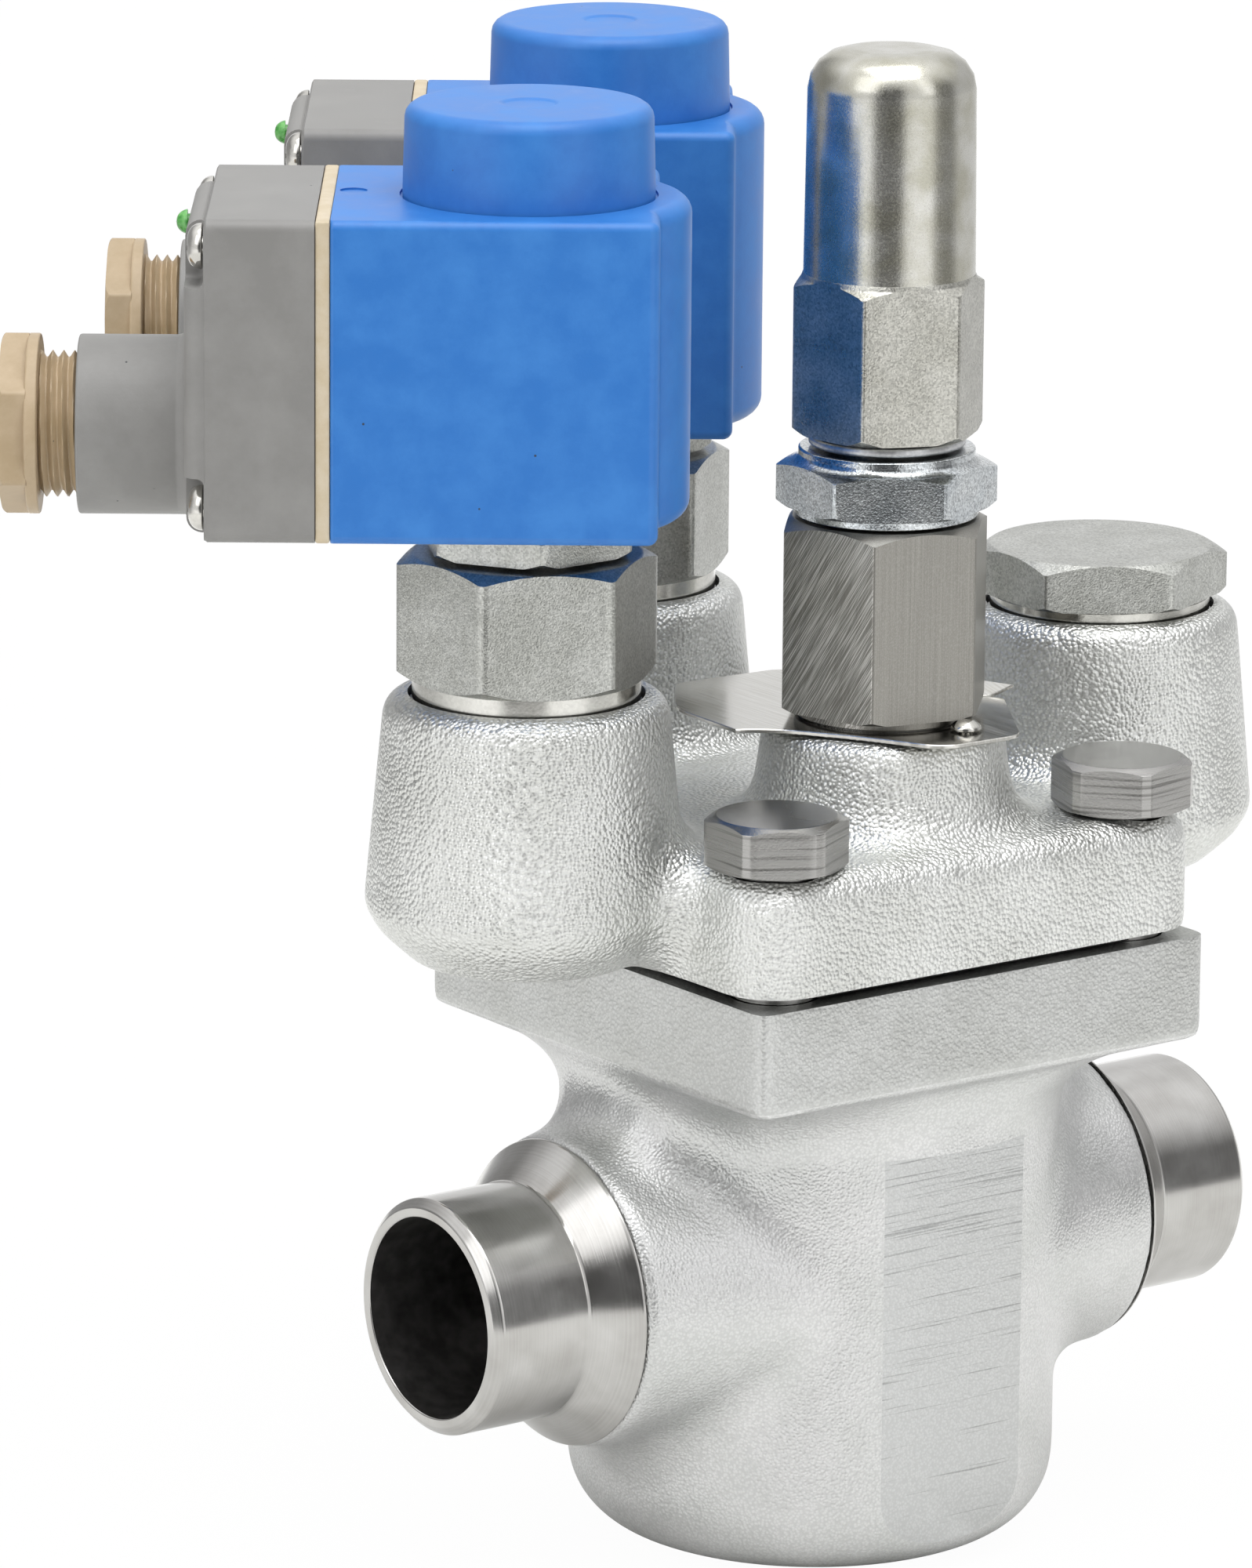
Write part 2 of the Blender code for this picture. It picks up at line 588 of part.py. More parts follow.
def build_cover_bolts():
    """Four hexagon bolts; each keeps the angle that its tightening left."""
    seat = PLATE_TOP + FIT
    head_top = seat + BOLT_HEAD
    corner = BOLT_AF / math.sqrt(3)
    turned_r = corner - 0.25 * MM
    profile = [(0.0, head_top), (BOLT_AF * 0.46, head_top), (turned_r, head_top - 1.3 * MM),
               (turned_r, seat + 0.4 * MM), (BOLT_AF * 0.49, seat), (BOLT_R, seat),
               (BOLT_R, FLANGE_TOP - BOLT_REACH + MM), (BOLT_R - MM, FLANGE_TOP - BOLT_REACH),
               (0.0, FLANGE_TOP - BOLT_REACH)]
    turns = (29.0, 47.0, 11.5, 3.0)
    for number, (place, turn) in enumerate(zip(bolt_places(), turns), start=1):
        turned_hex(f"cover_bolt_{number}", profile, STAINLESS, BOLT_AF, place, math.radians(turn),
                   STEPS_SMALL)


# Servo module

def build_insert():
    plate_bottom = CYLINDER_PLATE_TOP - CYLINDER_PLATE
    flange_bottom = FLANGE_TOP - INSERT_STEP
    outer = UPPER_CHAMBER_R - FIT
    skirt = SEAT_WALL_BORE_R - FIT
    bore = PISTON_R + FIT
    upper_ring_z = flange_bottom - 5 * MM
    lower_ring_z = (SEAT_WALL_BOTTOM + SEAT_WALL_TOP) / 2
    groove = 1.0 * MM
    points = [
        (bore, FLANGE_TOP - FIT), (INSERT_STEP_R - FIT, FLANGE_TOP - FIT),
        (INSERT_STEP_R - FIT, flange_bottom),
        (outer, flange_bottom), (outer, upper_ring_z + groove), (outer - 1.9 * MM, upper_ring_z + groove),
        (outer - 1.9 * MM, upper_ring_z - groove), (outer, upper_ring_z - groove),
        (outer, plate_bottom), (CAGE_R, plate_bottom), (CAGE_R, SEAT_WALL_TOP + FIT),
        (skirt, SEAT_WALL_TOP + FIT), (skirt, lower_ring_z + groove * 0.8),
        (skirt - 1.5 * MM, lower_ring_z + groove * 0.8), (skirt - 1.5 * MM, lower_ring_z - groove * 0.8),
        (skirt, lower_ring_z - groove * 0.8), (skirt, SEAT_Z), (SEAT_BORE_R, SEAT_Z),
        (SEAT_BORE_R, SEAT_WALL_TOP + 4 * MM), (CAGE_R - CAGE_WALL, SEAT_WALL_TOP + 7 * MM),
        (CAGE_R - CAGE_WALL, plate_bottom), (ROD_R + 0.6 * MM, plate_bottom),
        (ROD_R + 0.6 * MM, CYLINDER_PLATE_TOP), (bore, CYLINDER_PLATE_TOP)]
    insert = turned("insert_cylinder", points, STAINLESS, steps=STEPS_MID)
    window_low = SEAT_WALL_TOP + 3.5 * MM
    window_high = plate_bottom - 2.0 * MM
    for k in range(3):
        angle = math.radians(60 * k)
        half = 6.0 * MM
        window = box("cage_window", (-CAGE_R - MM, -half, window_low), (CAGE_R + MM, half, window_high),
                     turn=angle)
        boolean(insert, window)
    for k in range(4):
        angle = math.radians(45 + 90 * k)
        place = (13 * MM * math.cos(angle), 13 * MM * math.sin(angle), 0)
        port = ring("balance_port", 0.0, 2.0 * MM, plate_bottom - MM, CYLINDER_PLATE_TOP + MM, None, place,
                    12)
        boolean(insert, port)
    torus("insert_o_ring", outer - 0.8 * MM, 0.8 * MM, upper_ring_z, RUBBER, steps=STEPS_MID)
    torus("seat_o_ring", skirt - 0.6 * MM, 0.6 * MM, lower_ring_z, RUBBER, steps=STEPS_MID)


def build_piston():
    top = PISTON_TOP
    bottom = top - PISTON_LENGTH
    groove_top = top - 2.6 * MM
    groove_bottom = top - 5.0 * MM
    groove_r = PISTON_R - 1.8 * MM
    hole = ROD_R + FIT
    skirt = PISTON_R - 3 * MM
    crown = top - 6.5 * MM
    points = [(hole, top), (PISTON_R - 0.6 * MM, top), (PISTON_R, top - 0.6 * MM), (PISTON_R, groove_top),
              (groove_r, groove_top), (groove_r, groove_bottom), (PISTON_R, groove_bottom),
              (PISTON_R, bottom),
              (skirt, bottom), (skirt, crown), (9 * MM, crown), (8 * MM, bottom), (hole, bottom)]
    turned("servo_piston", points, STAINLESS, steps=STEPS_MID)
    ring("piston_ring", groove_r + FIT, PISTON_R, groove_bottom + FIT, groove_top - FIT, PTFE,
         steps=STEPS_MID)


def rod_end_z():
    """Underside of the rod: below the valve disc, its nut and a short end."""
    return SEAT_Z - FIT - DISC_THICK - FIT - 5.2 * MM - 1.5 * MM


def build_rod():
    top = PISTON_TOP + FIT
    head = 2.6 * MM
    bottom = rod_end_z()
    rod = turned("piston_rod", [(0.0, top + head), (5.8 * MM, top + head), (6.5 * MM, top + head - 0.7 * MM),
                                (6.5 * MM, top), (ROD_R, top), (ROD_R, bottom + 0.8 * MM),
                                (ROD_R - 0.8 * MM, bottom), (0.0, bottom)], STAINLESS, steps=STEPS_SMALL)
    slot = box("rod_slot", (-8 * MM, -0.8 * MM, top + head - 1.2 * MM), (8 * MM, 0.8 * MM, top + head + MM))
    boolean(rod, slot)
    nut_top = SEAT_Z - FIT - DISC_THICK - FIT
    nut_bottom = nut_top - 5.2 * MM
    across = 10 * MM
    turned_hex("rod_nut", [(ROD_R + FIT, nut_top), (5.4 * MM, nut_top), (5.7 * MM, nut_top - 0.4 * MM),
                           (5.7 * MM, nut_bottom + 0.4 * MM), (5.4 * MM, nut_bottom),
                           (ROD_R + FIT, nut_bottom)],
               ZINC, across, steps=STEPS_SMALL)


def build_throttle():
    """A skirt in the seat bore whose V ports open first at their narrow ends."""
    outer = SEAT_BORE_R - FIT
    bottom = SEAT_Z + FIT + 0.4 * MM
    top = SEAT_WALL_TOP + 3.5 * MM
    floor = bottom + 2.2 * MM
    hole = ROD_R + FIT
    cone = turned("throttle_cone", [(outer - 1.7 * MM, top), (outer, top), (outer, bottom), (hole, bottom),
                                    (hole, floor + 3 * MM), (7 * MM, floor + 3 * MM), (8 * MM, floor),
                                    (outer - 1.7 * MM, floor)], STAINLESS, steps=STEPS_MID)
    for k in range(3):
        angle = math.radians(120 * k + 30)
        mesh = bpy.data.meshes.new("v_port")
        shape = bmesh.new()
        corners = [(0.0, floor + 0.6 * MM), (5.5 * MM, top + MM), (-5.5 * MM, top + MM)]
        near = [shape.verts.new((9 * MM, y, z)) for y, z in corners]
        face = shape.faces.new(near)
        grown = bmesh.ops.extrude_face_region(shape, geom=[face])
        moved = [g for g in grown["geom"] if isinstance(g, bmesh.types.BMVert)]
        bmesh.ops.translate(shape, verts=moved, vec=(6 * MM, 0, 0))
        bmesh.ops.recalc_face_normals(shape, faces=shape.faces)
        shape.to_mesh(mesh)
        shape.free()
        boolean(cone, add_object("v_port", mesh, None, (0, 0, 0), angle))


def build_disc():
    top = SEAT_Z - FIT
    bottom = top - DISC_THICK
    hole = ROD_R + FIT
    seal_in = SEAT_BORE_R - 0.7 * MM
    seal_out = SEAT_WALL_BORE_R + 0.2 * MM
    seal_depth = 2.2 * MM
    turned("valve_disc", [(hole, SEAT_Z + 0.4 * MM), (seal_in - FIT, SEAT_Z + 0.4 * MM),
                          (seal_in - FIT, top - seal_depth), (seal_out + FIT, top - seal_depth),
                          (seal_out + FIT, top - 0.3 * MM), (DISC_R, top - 0.3 * MM),
                          (DISC_R, bottom + 1.5 * MM),
                          (DISC_R - 1.5 * MM, bottom), (hole, bottom)], STAINLESS, steps=STEPS_MID)
    ring("valve_disc_seal", seal_in, seal_out, top - seal_depth + FIT, top, PTFE, steps=STEPS_MID)


def build_main_spring():
    seat_top = CHAMBER_FLOOR + FIT + 2.0 * MM
    seat_low = CHAMBER_FLOOR + FIT
    rim = SPRING_R + SPRING_WIRE_R + 2.0 * MM
    pin = SPRING_R - SPRING_WIRE_R - 0.8 * MM
    turned("spring_seat",
           [(0.0, seat_top + 1.6 * MM), (pin - 0.6 * MM, seat_top + 1.6 * MM), (pin, seat_top + MM),
            (pin, seat_top), (rim, seat_top), (rim, seat_low), (0.0, seat_low)], ZINC, steps=STEPS_SMALL)
    top = SEAT_Z - FIT - DISC_THICK
    helix("main_spring", SPRING_R, SPRING_WIRE_R, seat_top + FIT, top - FIT, SPRING_TURNS, STAINLESS)


# Manual spindle

def housing_heights():
    """Collar, hexagon and neck of the spindle housing."""
    plate = 0.6 * MM
    collar = CENTRE_TOP + FIT + plate + FIT
    hexagon_low = collar + 1.2 * MM
    hexagon_top = hexagon_low + HOUSING_HEX
    return plate, collar, hexagon_low, hexagon_top


def build_spindle_housing():
    plate, collar, low, top = housing_heights()
    turn = math.radians(46.3)
    stem_bottom = CENTRE_TOP - CENTRE_THREAD_DEPTH + FIT
    corner = HOUSING_AF / math.sqrt(3)
    neck_top = top + HOUSING_NECK
    bore = SPINDLE_LAND_R + FIT
    bore_top = low + 17.3 * MM
    points = [(SPINDLE_R + FIT, neck_top), (HOUSING_NECK_R - 0.7 * MM, neck_top),
              (HOUSING_NECK_R, neck_top - 0.7 * MM), (HOUSING_NECK_R, top), (corner - 1.3 * MM, top),
              (corner - 0.1 * MM, top - 0.8 * MM), (corner - 0.1 * MM, low + 0.5 * MM),
              (corner - 1.0 * MM, low),
              (HOUSING_COLLAR_R, low), (HOUSING_COLLAR_R, collar), (CENTRE_THREAD_R - FIT, collar),
              (CENTRE_THREAD_R - FIT, stem_bottom), (bore, stem_bottom), (bore, bore_top),
              (SPINDLE_R + FIT, bore_top)]
    turned_hex("spindle_housing", points, STAINLESS, HOUSING_AF, SPINDLE_AXIS, turn, STEPS_MID)
    return top, neck_top, bore_top


def build_lock_nut(low):
    bottom = low + FIT
    hex_low = bottom + LOCK_NUT_COLLAR
    top = hex_low + LOCK_NUT_HEX
    step = top + 2.1 * MM
    turned_r = 15.4 * MM
    hole = HOUSING_NECK_R + FIT
    points = [(hole, step), (12.4 * MM, step), (12.4 * MM, top), (turned_r - 1.4 * MM, top),
              (turned_r, top - 0.8 * MM), (turned_r, hex_low + 0.6 * MM), (turned_r - 1.2 * MM, hex_low),
              (LOCK_NUT_COLLAR_R, hex_low), (LOCK_NUT_COLLAR_R, bottom), (hole, bottom)]
    turned_hex("spindle_lock_nut", points, ZINC, LOCK_NUT_AF, SPINDLE_AXIS, math.radians(24.2), STEPS_MID)
    return step


def build_cap(low):
    """The gasket ring and the cap that screws down on it."""
    gasket_bottom = low + FIT
    gasket_top = gasket_bottom + 1.4 * MM
    hole = HOUSING_NECK_R + FIT
    ring("cap_gasket", hole, 11.0 * MM, gasket_bottom, gasket_top, ALUMINIUM, SPINDLE_AXIS)
    bottom = gasket_top + FIT
    hex_top = bottom + 0.7 * MM + CAP_HEX
    top = bottom + CAP_HEIGHT
    turned_r = 13.6 * MM
    round_r = 4.2 * MM
    inside = CAP_DOME_R - CAP_WALL
    thread_top = bottom + CAP_TRAVEL + 11.0 * MM
    points = [(0.0, top), (CAP_DOME_R - round_r, top)]
    points += arc(CAP_DOME_R - round_r, top - round_r, round_r, 72, 0, 4)
    points += [(CAP_DOME_R, hex_top + 1.0 * MM), (turned_r, hex_top), (turned_r, bottom + 1.0 * MM),
               (10.6 * MM, bottom), (hole, bottom), (hole, thread_top), (inside, thread_top + MM),
               (inside, top - CAP_WALL - 2.5 * MM), (inside - 2.5 * MM, top - CAP_WALL),
               (0.0, top - CAP_WALL)]
    turned_hex("spindle_cap", points, ZINC, CAP_AF, SPINDLE_AXIS, math.radians(37.2), STEPS_MID)
    return top


def build_spindle(neck_top, bore_top):
    tip = PISTON_TOP + SPINDLE_TIP_GAP + SPINDLE_TRAVEL
    land_top = bore_top - FIT
    land_low = land_top - 13 * MM
    groove_z = land_top - 4 * MM
    groove = 1.1 * MM
    top = neck_top + 12 * MM
    points = [(0.0, top), (SPINDLE_R - 0.5 * MM, top), (SPINDLE_R, top - 0.5 * MM), (SPINDLE_R, land_top),
              (SPINDLE_LAND_R, land_top), (SPINDLE_LAND_R, groove_z + groove),
              (SPINDLE_LAND_R - 1.8 * MM, groove_z + groove), (SPINDLE_LAND_R - 1.8 * MM, groove_z - groove),
              (SPINDLE_LAND_R, groove_z - groove), (SPINDLE_LAND_R, land_low), (SPINDLE_R, land_low),
              (SPINDLE_R, tip + 0.8 * MM), (SPINDLE_R - 0.8 * MM, tip), (0.0, tip)]
    spindle = turned("manual_spindle", points, STAINLESS, SPINDLE_AXIS, STEPS_SMALL)
    square = 5.5 * MM
    for k in range(4):
        flat = box("square_end", (square / 2, -6 * MM, top - 8 * MM), (8 * MM, 6 * MM, top + MM), None,
                   SPINDLE_AXIS, math.radians(90 * k))
        boolean(spindle, flat)
    torus("spindle_o_ring", SPINDLE_LAND_R - 0.78 * MM, 0.75 * MM, groove_z, RUBBER, SPINDLE_AXIS,
          STEPS_SMALL)


def build_name_plate():
    """A thin sheet held under the spindle housing's collar, its outline cut to clear the bosses."""
    plate, collar, low, top = housing_heights()
    bottom = CENTRE_TOP + FIT
    outline = [(-22.0, 4.5), (-22.6, -10.9), (-18.9, -12.6), (-10.5, -25.3), (-5.5, -35.0), (7.9, -34.8),
               (18.6, -17.0), (16.0, 8.0), (4.8, 15.4), (-13.2, 16.5)]
    mesh = bpy.data.meshes.new("name_plate")
    shape = bmesh.new()
    face = shape.faces.new([shape.verts.new((x * MM, y * MM, bottom)) for x, y in outline])
    grown = bmesh.ops.extrude_face_region(shape, geom=[face])
    moved = [g for g in grown["geom"] if isinstance(g, bmesh.types.BMVert)]
    bmesh.ops.translate(shape, verts=moved, vec=(0, 0, plate))
    bmesh.ops.recalc_face_normals(shape, faces=shape.faces)
    shape.to_mesh(mesh)
    shape.free()
    sheet = add_object("name_plate", mesh, STAINLESS)
    boolean(sheet, ring("plate_hole", 0.0, CENTRE_THREAD_R, bottom - MM, bottom + 2 * MM, None,
                        SPINDLE_AXIS, STEPS_MID))
    screw_place = Vector((3.0 * MM, SPINDLE_Y - 14.9 * MM, 0.0))
    hole = ring("plate_screw_hole", 0.0, 1.3 * MM, bottom - 5 * MM, bottom + 2 * MM, None, screw_place, 12)
    boolean(sheet, hole)
    boolean(bpy.data.objects["top_cover"], hole)
    head = bottom + plate + FIT
    turned("plate_screw",
           [(0.0, head + 1.3 * MM), (1.2 * MM, head + 1.1 * MM), (2.1 * MM, head), (1.0 * MM, head),
            (1.0 * MM, bottom - 4 * MM), (0.0, bottom - 4 * MM)], STAINLESS, screw_place, 16)


# Pilot ports

def port_gasket(name, place):
    floor = RIM_Z - PORT_MOUTH_DEPTH
    ring(name, PORT_THREAD_R, PORT_MOUTH_R - FIT, floor + FIT, floor + 1.7 * MM, ALUMINIUM, place)
    return floor + 1.7 * MM + FIT


def build_blanking_plug():
    collar_low = port_gasket("plug_gasket", PLUG_PORT)
    collar_top = RIM_Z + PLUG_COLLAR
    top = collar_top + PLUG_HEX
    thread = PORT_THREAD_R - FIT
    points = [(0.0, top), (PORT_AF * 0.5 + 0.3 * MM, top), (PORT_TURNED_R + 0.2 * MM, top - 1.4 * MM),
              (PORT_TURNED_R + 0.2 * MM, collar_top), (PILOT_COLLAR_R, collar_top),
              (PILOT_COLLAR_R, collar_low),
              (thread, collar_low), (thread, collar_low - 15 * MM),
              (thread - 1.2 * MM, collar_low - 16.2 * MM),
              (0.0, collar_low - 16.2 * MM)]
    turned_hex("blanking_plug", points, ZINC, PORT_AF, PLUG_PORT, math.radians(25.6))


def build_pilot(side, place, port_turn, nut_turn):
    """Housing, nut, armature tube with its core, armature and spring of one solenoid pilot."""
    collar_low = port_gasket(side + "_pilot_gasket", place)
    collar_top = RIM_Z + PILOT_COLLAR
    top = collar_top + PILOT_HEX
    thread = PORT_THREAD_R - FIT
    stem_low = RIM_Z - PORT_DEPTH + 3.5 * MM
    tube_bore = TUBE_R - TUBE_WALL
    flange_low = top - 2.5 * MM
    seat = RIM_Z + 1.0 * MM
    orifice = 1.5 * MM
    points = [(10.0 * MM, top), (PORT_AF * 0.5 + 0.1 * MM, top), (PORT_TURNED_R, top - 1.2 * MM),
              (PORT_TURNED_R, collar_top + 1.2 * MM), (PORT_AF * 0.5 + 0.1 * MM, collar_top),
              (PILOT_COLLAR_R, collar_top), (PILOT_COLLAR_R, collar_low), (thread, collar_low),
              (thread, stem_low), (orifice, stem_low), (orifice, seat), (tube_bore, seat - 1.2 * MM),
              (tube_bore, flange_low),
              (10.0 * MM, flange_low)]
    turned_hex(side + "_pilot_housing", points, ZINC, PORT_AF, place, math.radians(port_turn))

    flange_top = top + FIT
    tube_top = RIM_Z + TUBE_TOP
    core_low = tube_top - CORE_LENGTH
    turned(side + "_armature_tube", [
        (0.0, tube_top), (TUBE_R - MM, tube_top), (TUBE_R, tube_top - MM), (TUBE_R, flange_top),
        (9.7 * MM, flange_top), (9.7 * MM, flange_low + FIT), (tube_bore, flange_low + FIT),
        (tube_bore, core_low), (0.0, core_low)], STAINLESS, place, STEPS_SMALL)

    nut_low = flange_top + FIT
    nut_top = nut_low + TUBE_NUT_HEX - 0.6 * MM
    corner = TUBE_NUT_AF / math.sqrt(3)
    turned_hex(side + "_tube_nut", [
        (TUBE_R + FIT, nut_top), (corner - 1.0 * MM, nut_top), (corner - 0.2 * MM, nut_top - 0.6 * MM),
        (corner - 0.2 * MM, nut_low + 0.6 * MM), (corner - 1.0 * MM, nut_low), (TUBE_R + FIT, nut_low)],
        STAINLESS, TUBE_NUT_AF, place, math.radians(nut_turn))

    armature_top = core_low - ARMATURE_TRAVEL - ARMATURE_STOP_GAP
    armature_low = seat + FIT
    armature_r = tube_bore - FIT
    pocket_r = 4.2 * MM
    pocket = armature_top - 10 * MM
    armature = turned(side + "_armature", [
        (0.0, pocket), (pocket_r, pocket), (pocket_r, armature_top), (armature_r - 0.5 * MM, armature_top),
        (armature_r, armature_top - 0.5 * MM), (armature_r, armature_low + 3 * MM), (2.6 * MM, armature_low),
        (0.0, armature_low)], STAINLESS, place, STEPS_SMALL)
    for k in (0, 1):
        slot = box(side + "_armature_slot", (armature_r - 1.0 * MM, -MM, armature_low - MM),
                   (armature_r + MM, MM, armature_top + MM), None, place, math.pi * k)
        boolean(armature, slot)
    helix(side + "_armature_spring", 3.2 * MM, 0.4 * MM, pocket + FIT, core_low - FIT, 5, STAINLESS,
                   place, 8, 0)
    return tube_top


# Coils

def place_coil_piece(item, place):
    """Turn a piece modelled with its terminal side along +X into the coil's direction."""
    item.location = place
    item.rotation_euler = (0.0, 0.0, COIL_TURN)
    return item


def along_coil(item, place, distance, height):
    """Lay a turned piece along the coil's direction, its start at a distance from the tube's axis."""
    direction = Vector((math.cos(COIL_TURN), math.sin(COIL_TURN), 0.0))
    item.location = place + direction * distance + Vector((0, 0, height))
    item.rotation_euler = (0.0, math.pi / 2, COIL_TURN)
    return item


def screw_places():
    middle = COIL_HEIGHT / 2
    return [(y, z) for y in (-SCREW_PITCH, SCREW_PITCH) for z in (middle - SCREW_PITCH, middle + SCREW_PITCH)]


def build_coil_housing(side, place, tube_top):
    bottom = RIM_Z + COIL_BOTTOM
    top = bottom + COIL_HEIGHT
    housing = box(side + "_coil_housing", (-COIL_BACK, -COIL_HALF, bottom), (COIL_FRONT, COIL_HALF, top),
                  BLUE,
                  bevel=0.8 * MM, segments=1)
    place_coil_piece(housing, place)
    edge = 1.0 * MM
    round_end = turned(side + "_coil_round", [
        (0.0, top), (COIL_HALF - edge, top), (COIL_HALF, top - edge), (COIL_HALF, bottom + edge),
        (COIL_HALF - edge, bottom), (0.0, bottom)], None, place, STEPS_LARGE, COIL_TURN)
    boolean(housing, round_end, "UNION")
    knob_top = top + COIL_KNOB
    knob = turned(side + "_coil_knob", [
        (0.0, knob_top), (COIL_KNOB_R - 2 * MM, knob_top), (COIL_KNOB_R - 0.6 * MM, knob_top - 0.6 * MM),
        (COIL_KNOB_R, knob_top - 2 * MM), (COIL_KNOB_R, top - MM), (0.0, top - MM)],
        None, place, STEPS_LARGE, COIL_TURN)
    boolean(housing, knob, "UNION")
    terminal = box(side + "_terminal_block", (COIL_FRONT - MM, -10 * MM, bottom + 20 * MM),
                   (COIL_FRONT + 7 * MM, 10 * MM, bottom + 36 * MM))
    boolean(housing, place_coil_piece(terminal, place), "UNION")
    bore_r = TUBE_R + FIT
    pocket_low = bottom + 5 * MM
    pocket_high = top - 5 * MM
    bore = turned(side + "_coil_bore", [
        (0.0, tube_top + 1.5 * MM), (bore_r, tube_top + 1.5 * MM), (bore_r, pocket_high),
        (WINDING_R + FIT, pocket_high), (WINDING_R + FIT, pocket_low), (bore_r, pocket_low),
        (bore_r, bottom - MM), (0.0, bottom - MM)], None, place, STEPS_MID, COIL_TURN)
    boolean(housing, bore)
    ring(side + "_coil_winding", bore_r + 1.0 * MM, WINDING_R, pocket_low + FIT, pocket_high - FIT, COPPER,
         place)


def build_terminal_gasket(side, place):
    bottom = RIM_Z + COIL_BOTTOM
    low = COIL_FRONT + FIT
    gasket = box(side + "_terminal_gasket", (low, -COIL_HALF + 0.3 * MM, bottom + 0.3 * MM),
                 (low + TERMINAL_GASKET, COIL_HALF - 0.3 * MM, bottom + COIL_HEIGHT - 0.3 * MM), IVORY)
    place_coil_piece(gasket, place)
    hole = box(side + "_gasket_window", (low - MM, -13 * MM, bottom + 6.5 * MM),
               (low + 3 * MM, 13 * MM, bottom + COIL_HEIGHT - 6.5 * MM))
    boolean(gasket, place_coil_piece(hole, place))


def build_terminal_cover(side, place):
    """A moulded cup with cut-in corners for its screws and a round entry for the cable gland."""
    bottom = RIM_Z + COIL_BOTTOM
    top = bottom + COIL_HEIGHT
    low = COIL_FRONT + FIT + TERMINAL_GASKET + FIT
    high = low + TERMINAL_COVER - FIT
    cover = box(side + "_terminal_cover", (low, -COIL_HALF, bottom), (high, COIL_HALF, top), GREY)
    place_coil_piece(cover, place)
    end = box(side + "_terminal_end", (high - 4 * MM, -COIL_HALF + 0.5 * MM, bottom + 0.5 * MM),
              (high + TERMINAL_STEP, COIL_HALF - 0.5 * MM, top - 1.2 * MM), bevel=1.5 * MM, segments=2)
    boolean(cover, place_coil_piece(end, place), "UNION")
    notch = 8.8 * MM
    for sy in (-1, 1):
        for floor, ceiling in ((bottom - MM, bottom + notch), (top - notch, top + MM)):
            corner = box(side + "_cover_notch", (high - 2 * MM, sy * (COIL_HALF + MM) - 8.3 * MM, floor),
                         (high + 4 * MM, sy * (COIL_HALF + MM) + 8.3 * MM, ceiling))
            boolean(cover, place_coil_piece(corner, place))
    axis_z = bottom + GLAND_Z
    boss = turned(side + "_gland_boss", [
        (0.0, GLAND_BOSS_END), (GLAND_BOSS_R - 0.5 * MM, GLAND_BOSS_END),
        (GLAND_BOSS_R, GLAND_BOSS_END - 0.5 * MM),
        (GLAND_BOSS_R, high - 3 * MM), (0.0, high - 3 * MM)], None, steps=STEPS_MID)
    boolean(cover, along_coil(boss, place, 0.0, axis_z), "UNION")
    inside = box(side + "_terminal_space", (low - MM, -COIL_HALF + 8 * MM, bottom + TERMINAL_WALL),
                 (high - TERMINAL_WALL, COIL_HALF - 8 * MM, top - TERMINAL_WALL))
    boolean(cover, place_coil_piece(inside, place))
    seal_seat = GLAND_BOSS_END - 12.0 * MM
    entry = turned(side + "_gland_bore", [
        (0.0, GLAND_BOSS_END + MM), (GLAND_THREAD_R + FIT, GLAND_BOSS_END + MM),
        (GLAND_THREAD_R + FIT, seal_seat),
        (GLAND_CABLE_R + 0.5 * MM, seal_seat), (GLAND_CABLE_R + 0.5 * MM, high - 5 * MM),
        (0.0, high - 5 * MM)],
        None, steps=STEPS_MID)
    boolean(cover, along_coil(entry, place, 0.0, axis_z))
    face = high - 2 * MM
    for y, z in screw_places():
        head = turned(side + "_screw_head", [
            (0.0, 2.2 * MM), (2.2 * MM, 1.7 * MM), (3.0 * MM, 0.5 * MM), (3.0 * MM, -MM), (0.0, -MM)],
            None, steps=10)
        sideways = Vector((-math.sin(COIL_TURN), math.cos(COIL_TURN), 0.0)) * y
        boolean(cover, along_coil(head, place + sideways, face, bottom + z), "UNION")
    lens_z = top - 4.2 * MM
    lens_seat = ring(side + "_lens_seat", 0.0, 1.4 * MM, high - 1.0 * MM, high + TERMINAL_STEP + MM, None,
                     steps=10)
    boolean(cover, along_coil(lens_seat, place, 0.0, lens_z))

    lens = turned(side + "_led_lens",
                  [(0.0, 1.9 * MM), (0.9 * MM, 1.7 * MM), (1.6 * MM, 1.0 * MM), (1.75 * MM, FIT),
                   (1.1 * MM, FIT), (1.1 * MM, -3.2 * MM), (0.0, -3.2 * MM)], GREEN, steps=12)
    along_coil(lens, place, high + TERMINAL_STEP, lens_z)
    return seal_seat, axis_z


